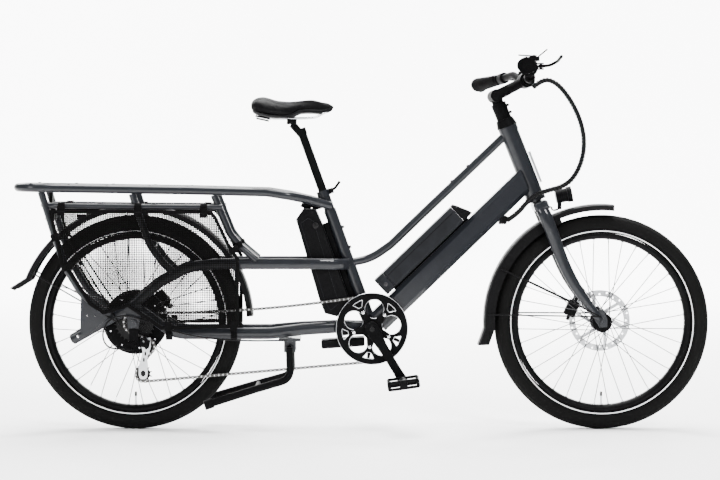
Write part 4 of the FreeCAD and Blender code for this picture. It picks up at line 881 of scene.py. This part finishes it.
SADDLE_RAIL = mm((-98, 10, 934), (-120, 17, 920), (-140, 22, 915), (-200, 22, 914), (-252, 22, 913),
                 (-270, 26, 916), (-290, 36, 922))
SADDLE_REAR, SADDLE_LONG = -0.324, 0.258
BASE_REAR, BASE_LONG, BASE_ROWS = -0.312, 0.232, 30
SEAM_REAR, SEAM_LONG, SEAM_POINTS = -0.306, 0.222, 150
GROOVE_DEPTH, GROOVE_HALF_WIDTH, GROOVE_REAR, GROOVE_FRONT = 0.0045, 0.009, -0.29, -0.10


def between(table, x):
    """A value from a short table of places, read between them."""
    if x <= table[0][0]:
        return table[0][1]
    for (low, first), (high, second) in zip(table, table[1:]):
        if x <= high:
            return first + (second - first) * ((x - low) / (high - low))
    return table[-1][1]


def saddle_skin(shrink):
    """Closed rings along the saddle, a little inside its finished size."""
    rings, across = 40, 36
    verts = []
    for n in range(rings):
        share = 0.5 - 0.5 * math.cos(math.pi * n / (rings - 1))
        x = SADDLE_REAR + shrink + (SADDLE_LONG - 2 * shrink) * share
        top, base = between(SADDLE_TOP, x) - shrink, between(SADDLE_BASE, x) + shrink * 0.4
        wide = between(SADDLE_WIDE, x) - shrink
        for m in range(across):
            angle = 2 * math.pi * m / across
            side, up = math.cos(angle), math.sin(angle)
            y = wide * math.copysign(abs(side) ** 0.75, side)
            rise = math.copysign(abs(up) ** 0.8, up)
            middle_z = base + (top - base) * 0.42
            z = middle_z + (top - middle_z) * rise if up > 0 else middle_z + (middle_z - base) * rise
            if up > 0 and GROOVE_REAR < x < GROOVE_FRONT:
                z -= GROOVE_DEPTH * math.exp(-(y / GROOVE_HALF_WIDTH) ** 2)
            verts.append(Vector((x, y, z)))
    return verts, tube_faces(rings, across)


def inflated(made, pressure, most, voxel):
    """Swells a closed cover with cloth, up to a largest movement, and keeps the result."""
    bpy.context.view_layer.objects.active = made
    for other in bpy.context.selected_objects:
        other.select_set(False)
    made.select_set(True)
    remesh = made.modifiers.new("even mesh", "REMESH")
    remesh.mode = "VOXEL"
    remesh.voxel_size = voxel
    bpy.ops.object.modifier_apply(modifier=remesh.name)
    rest = [v.co.copy() for v in made.data.vertices]
    cloth = made.modifiers.new("cover", "CLOTH")
    cloth.settings.use_pressure = True
    cloth.settings.uniform_pressure_force = pressure
    cloth.settings.effector_weights.gravity = 0
    cloth.settings.quality = 6
    last_frame = 20
    cloth.point_cache.frame_start = 1
    cloth.point_cache.frame_end = last_frame
    for step in range(1, last_frame + 1):
        bpy.context.scene.frame_set(step)
    graph = bpy.context.evaluated_depsgraph_get()
    swollen = [v.co.copy() for v in made.evaluated_get(graph).data.vertices]
    made.modifiers.remove(cloth)
    bpy.context.scene.frame_set(1)
    for vert, before, after in zip(made.data.vertices, rest, swollen):
        move = after - before
        if move.length > most:
            move = move.normalized() * most
        vert.co = before + move
    made.data.shade_smooth()


def saddle():
    swelling = 0.006
    cover = piece("saddle_cushion", *saddle_skin(swelling), VINYL, "seat")
    inflated(cover, pressure=4.0, most=swelling, voxel=0.005)
    finer = cover.modifiers.new("finer", "SUBSURF")
    finer.levels = finer.render_levels = 1
    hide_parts("saddle")
    shell = []
    for n in range(BASE_ROWS):
        x = BASE_REAR + BASE_LONG * n / (BASE_ROWS - 1)
        wide, base = between(SADDLE_WIDE, x) * 0.86 - 0.003, between(SADDLE_BASE, x) + 0.001
        row = [(-wide, 0.006), (-wide * 0.9, 0.0), (-wide * 0.45, -0.003), (0, -0.004), (wide * 0.45, -0.003),
               (wide * 0.9, 0.0), (wide, 0.006), (wide * 0.8, 0.010), (-wide * 0.8, 0.010)]
        shell += [Vector((x, y, base + z)) for y, z in row]
    piece("saddle_base", shell, tube_faces(BASE_ROWS, len(row)), PLASTIC, "seat", sharp=50)
    for side, name in SIDES:
        rail = [Vector((x, side * y, z)) for x, y, z in SADDLE_RAIL]
        line = nurbs(f"saddle_rail_{name}", rail, 0.0035)
        line.data.materials.append(STEEL)
        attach(line, "seat")
    along, up = tilted(-12)
    bumper_at = Vector((-0.283, 0, 0.921))
    layers = []
    for n, (long, wide) in enumerate(mm((36, 72), (44, 84), (38, 76), (42, 82))):
        place = bumper_at + up * (-0.0105 + 0.0062 * n)
        layers.append(slab(cut_corners(long / 2, wide / 2, 0.010), 0.0052, place, along, Y))
    bevelled(piece("saddle_bumper", *joined(layers), PLASTIC, "seat", smooth=False), 0.0012, 2)
    seam_over(cover)


STITCH_LIFT, STITCH_RADIUS, WELL_ABOVE = 0.0002, 0.0005, 1.1


def seam_over(cover):
    """Two rows of stitches along the top of the saddle, laid on its cover."""
    graph = bpy.context.evaluated_depsgraph_get()
    tree = BVHTree.FromObject(cover, graph)
    stitches = []
    for side in (-1, 1):
        line = []
        for n in range(SEAM_POINTS):
            x = SEAM_REAR + SEAM_LONG * n / (SEAM_POINTS - 1)
            y = side * (between(SADDLE_WIDE, x) * 0.62 + 0.002)
            hit, normal, _, _ = tree.ray_cast(Vector((x, y, WELL_ABOVE)), -Z)
            if hit:
                line.append((hit, normal))
        for (a, up_a), (b, up_b) in zip(line[::2], line[1::2]):
            start, end = a + up_a * STITCH_LIFT, b + up_b * STITCH_LIFT
            stitches.append(bar(start, start.lerp(end, 0.9), STITCH_RADIUS, sides=6))
    piece("saddle_stitches", *joined(stitches), THREAD, "seat", sharp=60)


saddle()

# ---------------------------------------------------------------- net side guards

GUARD = mm((-902, 648), (-430, 646), (-414, 628), (-378, 552), (-349, 507), (-349, 306), (-574, 300),
           (-672, 365), (-742, 344), (-785, 372), (-842, 460), (-868, 490))
GUARD_Y, NET_PITCH, THREAD_RADIUS, THREAD_LIFT, THREAD_STEP = 0.101, 0.0052, 0.00115, 0.0004, 0.03
HEM, HEM_RISE, HEM_EDGE, SEAM_RISE, HEM_STITCH = 0.010, 0.0017, 0.0012, 0.0019, 0.005
BAND_THICK, BAND_STEPS = 0.0016, 28


def crossings(value, axis):
    """Where the guard's outline crosses a line at a place along an axis (0 is X, 1 is Z), in pairs."""
    found = []
    for start, end in round_pairs(GUARD):
        low, high = start[axis], end[axis]
        if (low - value) * (high - value) < 0:
            share = (value - low) / (high - low)
            found.append(start[1 - axis] + (end[1 - axis] - start[1 - axis]) * share)
    found.sort()
    return list(zip(found[::2], found[1::2]))


def on_net(x, z, side, out=0.0):
    """A place on the net, which is slightly drawn in between its fixings, or a little outside it."""
    height = max(0.0, min(1.0, (z - 0.30) / 0.35))
    drawn = 0.0035 * math.sin((x + 0.90) * 9.5) ** 2 * math.sin(height * math.pi)
    return Vector((x, side * (GUARD_Y - drawn) + side * out, z))


def net(side, name):
    """Crossed threads inside the guard's outline, one way just outside the other."""
    threads = []
    section = circle(THREAD_RADIUS, 4)
    for axis in (0, 1):
        low = min(point[axis] for point in GUARD)
        high = max(point[axis] for point in GUARD)
        lift = THREAD_LIFT if axis else -THREAD_LIFT
        for n in range(1, int((high - low) / NET_PITCH)):
            place = low + n * NET_PITCH
            for start, end in crossings(place, axis):
                count = max(2, int((end - start) / THREAD_STEP) + 1)
                line = []
                for step in range(count):
                    along = start + (end - start) * step / (count - 1)
                    x, z = (place, along) if axis == 0 else (along, place)
                    line.append(on_net(x, z, side, lift))
                threads.append(swept(line, section))
    made = piece(f"{name}_net", *joined(threads), THREAD, "frame", smooth=False)
    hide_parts(f"{name}_side_guard")
    return made


def inset(outline, distance):
    """The outline moved inward."""
    made = []
    count = len(outline)
    for n in range(count):
        a, b, c = (Vector(outline[(n + k) % count]) for k in (-1, 0, 1))
        first, second = (b - a).normalized(), (c - b).normalized()
        inward_a, inward_b = Vector((first.y, -first.x)), Vector((second.y, -second.x))
        half = (inward_a + inward_b).normalized()
        made.append(tuple(b + half * (distance / max(0.35, half.dot(inward_a)))))
    return made


def hem(side, name):
    """The bound edge, with its row of stitches."""
    rows = [(GUARD, 0.0), (inset(GUARD, HEM_EDGE), HEM_RISE), (inset(GUARD, HEM - HEM_EDGE), HEM_RISE),
            (inset(GUARD, HEM), 0.0)]
    rows += [(rows[2][0], -HEM_RISE), (rows[1][0], -HEM_RISE)]
    verts = [on_net(x, z, side, out) for outline, out in rows for x, z in outline]
    faces = grid_faces(len(rows), len(GUARD), True, True)
    band = piece(f"{name}_net_hem", verts, faces, STRAP, "frame", smooth=False)
    stitches = []
    for (x0, z0), (x1, z1) in round_pairs(inset(GUARD, HEM * 0.72)):
        a, b = on_net(x0, z0, side, SEAM_RISE), on_net(x1, z1, side, SEAM_RISE)
        count = max(1, int((b - a).length / HEM_STITCH))
        stitches += [bar(a.lerp(b, n / count), a.lerp(b, (n + 0.6) / count), 0.0004,
                         sides=5) for n in range(count)]
    seam = piece(f"{name}_net_stitches", *joined(stitches), THREAD, "frame", smooth=False)
    return [band, seam]


def strap_loop(centre, along, radius, width, tail):
    """A flat band once round a tube, with a short tail that lies on the net."""
    across = along.cross(Y).normalized()
    out = across.cross(along).normalized()
    if out.y * centre.y < 0:
        out = -out
    verts, faces = [], []
    for reach in (radius, radius + BAND_THICK):
        for n in range(BAND_STEPS):
            angle = 2 * math.pi * n / BAND_STEPS
            spot = centre + (across * math.cos(angle) + out * math.sin(angle)) * reach
            verts += [spot - along * (width / 2), spot + along * (width / 2)]
    base = 2 * BAND_STEPS
    for n in range(BAND_STEPS):
        m = (n + 1) % BAND_STEPS
        a, b, c, d = 2 * n, 2 * n + 1, 2 * m + 1, 2 * m
        faces += [(a, b, c, d), (base + a, base + d, base + c, base + b), (a, d, base + d, base + a),
                  (b, base + b, base + c, c)]
    patch_at = Vector((centre.x, math.copysign(GUARD_Y + 0.0022, centre.y), centre.z)) + tail
    patch = slab(rectangle(width * 0.55, 0.014), 0.0024, patch_at, along, across)
    link = slab(rectangle(width * 0.45, 0.012), 0.0022, centre.lerp(patch_at, 0.72), along,
                (patch_at - centre).normalized())
    return [(verts, faces), patch, link]


RAIL_TIE, STRUT_TIE, STAY_TIE = (0.088, 0.0084, 0.020), (0.074, 0.0112, 0.018), (0.062, 0.0175, 0.018)
FRONT_TIE = (0.067, 0.0112, 0.018)
REAR_STRUT_WAY, FRONT_STRUT_WAY = Vector((0.29, 0, -0.957)), Vector((0.40, 0, -0.92)).normalized()
TIES = ((-0.865, 0.6595, X, RAIL_TIE, -Z * 0.014), (-0.643, 0.6570, X, RAIL_TIE, -Z * 0.014),
        (-0.452, 0.6550, X, RAIL_TIE, -Z * 0.016), (-0.8865, 0.568, REAR_STRUT_WAY, STRUT_TIE, X * 0.006),
        (-0.856, 0.482, REAR_STRUT_WAY, STRUT_TIE, X * 0.010),
        (-0.352, 0.544, FRONT_STRUT_WAY, FRONT_TIE, -X * 0.012 - Z * 0.012),
        (-0.555, 0.286, X, STAY_TIE, Z * 0.024), (-0.365, 0.286, X, STAY_TIE, Z * 0.024))


def straps(side, name):
    """The bands that tie a net to the tubes. Each kind has a place across, a radius and a width."""
    made = []
    for x, z, along, (y, radius, width), tail in TIES:
        made += strap_loop(Vector((x, side * y, z)), along, radius, width, tail)
    return piece(f"{name}_net_straps", *joined(made), STRAP, "frame", sharp=30)


for guard_side, guard_name in SIDES:
    cloth = net(guard_side, guard_name)
    edging = hem(guard_side, guard_name)
    ties = straps(guard_side, guard_name)
    tag_at = Vector((-0.806, guard_side * (GUARD_Y + 0.0015), 0.628))
    tag_block = slab(rectangle(0.013, 0.008), 0.0012, tag_at, X, Z)
    tag = piece(f"{guard_name}_net_tag", *tag_block, STRAP, "frame", smooth=False)

# ---------------------------------------------------------------- cables

DOWN_START, DOWN_RISE, HALF_DOWN_TUBE = Vector((0.096, 0, 0.355)), 44, 0.033
down_up, down_over = tilted(DOWN_RISE)


def on_down(along, over=0.0, side=0.0):
    """A place on the down tube: along it, over its middle line and to the left."""
    return DOWN_START + down_up * along + down_over * over + Y * side


def route(*places):
    """Points given in millimetres as along, up and to the left."""
    return [Vector((x, y, z)) for x, z, y in mm(*places)]


gland_way = (down_up * 0.6 - down_over * 0.8).normalized()
gland_foot = on_down(0.412, -HALF_DOWN_TUBE, -0.012)
gland_tip = gland_foot + gland_way * 0.020
bundle_route = route((506, 1004, -70), (536, 1030, -80), (572, 1018, -86), (603, 984, -82), (628, 944, -76),
                     (646, 902, -70), (656, 858, -64), (655, 812, -60), (643, 770, -57), (620, 732, -55),
                     (588, 712, -56), (553, 704, -57), (519, 692, -52), (489, 668, -45), (466, 636, -31))
bundle_route.append(gland_tip + gland_way * 0.0004)
shift_route = route((-210, 268, -80), (-280, 266, -84), (-350, 268, -86), (-420, 272, -87), (-490, 282, -88),
                    (-556, 300, -89), (-620, 326, -91), (-680, 344, -93), (-728, 330, -94), (-748, 290, -94),
                    (-738, 254, -92), (-712, 242, -88), (-682.4, 243, -84))


def frames_along(points):
    """A side and an up direction at every point, that turn as little as they can."""
    made, side = [], None
    for n, point in enumerate(points):
        ahead = way_at(points, n)
        side = ahead.orthogonal() if side is None else side - ahead * side.dot(ahead)
        side.normalize()
        made.append((point, side, ahead.cross(side)))
    return made


def wrapped_bundle():
    """Cables inside a spiral wrap of flat plastic strip."""
    guide_curve = nurbs("bundle_line", bundle_route, 0)
    line = line_of(guide_curve)
    bpy.data.objects.remove(guide_curve)
    count, steps_per_turn = 420, 16
    even, total = evenly(line, count, closed=False)
    spine = frames_along(even)
    turns_per_metre, strip, inner, outer = 1 / 0.0095, 0.0072, 0.0061, 0.0075
    core = swept([point for point, _, _ in spine[::4]] + [spine[-1][0]], circle(0.0060, 14))
    verts = []
    steps = int(total * turns_per_metre * steps_per_turn)
    for n in range(steps + 1):
        share = n / steps
        at = share * (count - 1)
        low = min(int(at), count - 2)
        point = spine[low][0].lerp(spine[low + 1][0], at - low)
        _, side, up = spine[low]
        ahead = side.cross(up)
        turn = 2 * math.pi * n / steps_per_turn
        out = side * math.cos(turn) + up * math.sin(turn)
        for reach, place in ((inner, -strip / 2), (outer, -strip / 2 + 0.0006), (outer, strip / 2 - 0.0006),
                             (inner, strip / 2)):
            slide = min(max(place, -share * total), (1 - share) * total)
            verts.append(point + out * reach + ahead * slide)
    faces = grid_faces(steps + 1, 4, wrap_columns=True)
    faces += [(0, 1, 2, 3), (4 * steps + 3, 4 * steps + 2, 4 * steps + 1, 4 * steps)]
    made = piece("cable_bundle_wrap", *joined([core, (verts, faces)]), JACKET, None, sharp=45)
    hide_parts("cable_bundle")
    return made, even


bundle, bundle_line = wrapped_bundle()
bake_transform(bundle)

shift_cable = nurbs("shift_cable_housing", shift_route, 0.0025)
shift_cable.data.materials.append(JACKET)
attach(shift_cable, "frame")
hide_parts("rear_shift_cable")

# ---------------------------------------------------------------- batteries

BATTERY_HALF, BATTERY_HIGH, BATTERY_LONG, BATTERY_LOW, CAP = 0.042, 0.056, 0.345, 0.020, 0.034
BATTERY_OVER = HALF_DOWN_TUBE + 0.0063


def on_battery(section, start, length, slant=0.0):
    """A prism along the down tube whose far end may slant back as it rises."""
    verts = []
    for n, along in enumerate((start, start + length)):
        for over, side in section:
            back = slant * max(0.0, over - 0.012) if n else 0.0
            verts.append(on_down(along - back, over + BATTERY_OVER, side))
    return verts, tube_faces(2, len(section))


def main_battery():
    """The case between its two end caps, with a lock and a line along each side."""
    half, high, gap = BATTERY_HALF, BATTERY_HIGH, 0.0008

    def section(small):
        return [(small, -half + 0.006), (0.006, -half + small), (high - 0.014, -half + small),
                (high - small, -half + 0.014), (high - small, half - 0.014), (high - 0.014, half - small),
                (0.006, half - small), (small, half - 0.006)]

    middle = on_battery(section(0.0006), BATTERY_LOW + CAP, BATTERY_LONG - 2 * CAP)
    foot = on_battery(section(0.0), BATTERY_LOW, CAP - gap)
    top = on_battery(section(0.0), BATTERY_LOW + BATTERY_LONG - CAP + gap, CAP - gap, slant=0.55)
    case = piece("battery_case", *middle, SHELL, "front_battery")
    lower = piece("battery_lower_cap", *foot, SHELL, "front_battery")
    upper = piece("battery_upper_cap", *top, PLASTIC, "front_battery")
    for made in (case, lower, upper):
        bevelled(made, 0.0022, 3)
    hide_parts("main_battery")
    lock = on_down(BATTERY_LOW + 0.017, BATTERY_OVER + 0.026, -half)
    turned("battery_lock", mm((0.1, 0), (6, 0), (6, -1), (4.8, -1.6), (0.1, -1.4)), lock,
           SPOKE, "front_battery", steps=40)
    line_long = BATTERY_LONG - 2 * CAP - 0.012
    line_outline = [(0, -0.0008), (line_long, -0.0008), (line_long, 0.0008), (0, 0.0008)]
    lines = [slab(line_outline, 0.0008,
                  on_down(BATTERY_LOW + CAP + 0.006, BATTERY_OVER + 0.0405, side * half),
                  down_up, down_over) for side in (-1, 1)]
    piece("battery_bevel_lines", *joined(lines), PLASTIC, "front_battery", smooth=False)


main_battery()

lock_at = Vector((-0.128, -BATTERY_HALF - 0.0025, 0.600))
turned("rear_battery_lock", mm((0.1, 0), (8.5, 0), (8.5, -1.6), (6.8, -2.4), (0.1, -2.2)),
       lock_at, DARK, "back_battery", steps=40)
panel = [Vector((x, -BATTERY_HALF + 0.0004, z)) for x, z in
         mm((-172, 606), (-150, 622), (-134, 612), (-60, 372), (-84, 352), (-98, 372))]
panel_edges = [bar(a, b, 0.0007, sides=6) for a, b in round_pairs(panel)]
piece("rear_battery_panel_edge", *joined(panel_edges), SHELL, "back_battery", sharp=50)
handle = [Vector((x, 0, z)) for x, z in
          mm((-160, 648), (-152, 664), (-136, 668), (-126, 660), (-122, 646))]
piece("rear_battery_handle", *swept(handle, rectangle(0.016, 0.003), Y), PLASTIC, "back_battery",
      smooth=False)

# ---------------------------------------------------------------- lamps and small fixings


def lamp_details():
    """The head lamp's lens and cooling ribs, and the tail lamp's lens."""
    centre, axis = Vector((0.601, 0, 0.687)), tilted(11)[0]
    lens = mm((0.1, 24.5), (6, 24.2), (12, 23.2), (16.5, 21.5), (16.8, 18), (0.1, 18))
    turned("headlight_lens", lens, centre, LENS, "headlamp", axis=axis, steps=48)
    rib = mm((19.8, 0), (20.6, 0.6), (20.6, 2.2), (19.8, 2.8))
    ribs = []
    for n in range(4):
        first = -0.020 + 0.0055 * n
        ribs.append(lathe([(radius, first + place) for radius, place in rib], centre, axis, 48))
    piece("headlight_cooling_ribs", *joined(ribs), PLASTIC, "headlamp", sharp=30)
    up = tilted(8)[1]
    out = up.cross(Y)
    if out.x > 0:
        out = -out
    face = Vector((-0.906, 0, 0.634)) + out * 0.0132
    glass = slab(rectangle(0.036, 0.013), 0.004, face, Y, up)
    bevelled(piece("tail_light_lens", *glass, RED, "frame", smooth=False), 0.0015, 2)


lamp_details()


def small_fixings():
    """The bosses and bolts on the frame's tubes, and the boot where the cables enter the down tube."""
    seat_front = Vector((0.946, 0, 0.323)).normalized()
    base = mm((0.1, -2), (5.2, -2), (5.2, 2), (0.1, 2))
    head = mm((0.1, 1), (4.2, 1), (3.8, 6), (0.1, 6.6))
    for number, (x, z) in enumerate(((-0.051, 0.594), (-0.030, 0.535))):
        rings = [(lathe(profile, Vector((x, 0, z)), seat_front, 24)[0], grid_faces(24, 4, True, False))
                 for profile in (base, head)]
        piece(f"seat_tube_boss_{number}", *joined(rings), DARK, "frame", sharp=35)
    top_up = Vector((-0.69, 0, 0.72)).normalized()
    heads = [Vector((x, 0, z)) for x, z in ((0.320, 0.7735), (0.273, 0.7285))]
    screw_heads("top_tube_bolts", heads, 0.0045, 0.004, top_up, DARK, "frame")
    rail_top, rail_rise, rail_start, rail_y, sunk = 0.7105, 0.0188, -0.270, 0.080, 0.0012
    rail_bolts = [Vector((x, side * rail_y, rail_top + rail_rise * (rail_start - x) - sunk))
                  for x in (-0.955, -0.845, -0.735, -0.610, -0.500) for side in (-1, 1)]
    screw_heads("deck_rail_bolts", rail_bolts, 0.0050, 0.0030, Z, DARK, "frame")
    boot = mm((9, 20), (11.5, 19), (13.5, 14), (12.8, 11), (14.5, 8), (13.8, 5), (15.5, 1), (15, -3),
              (9, -3))
    turned("cable_boot", boot, gland_foot, PLASTIC, "frame", axis=gland_way, steps=40)


small_fixings()
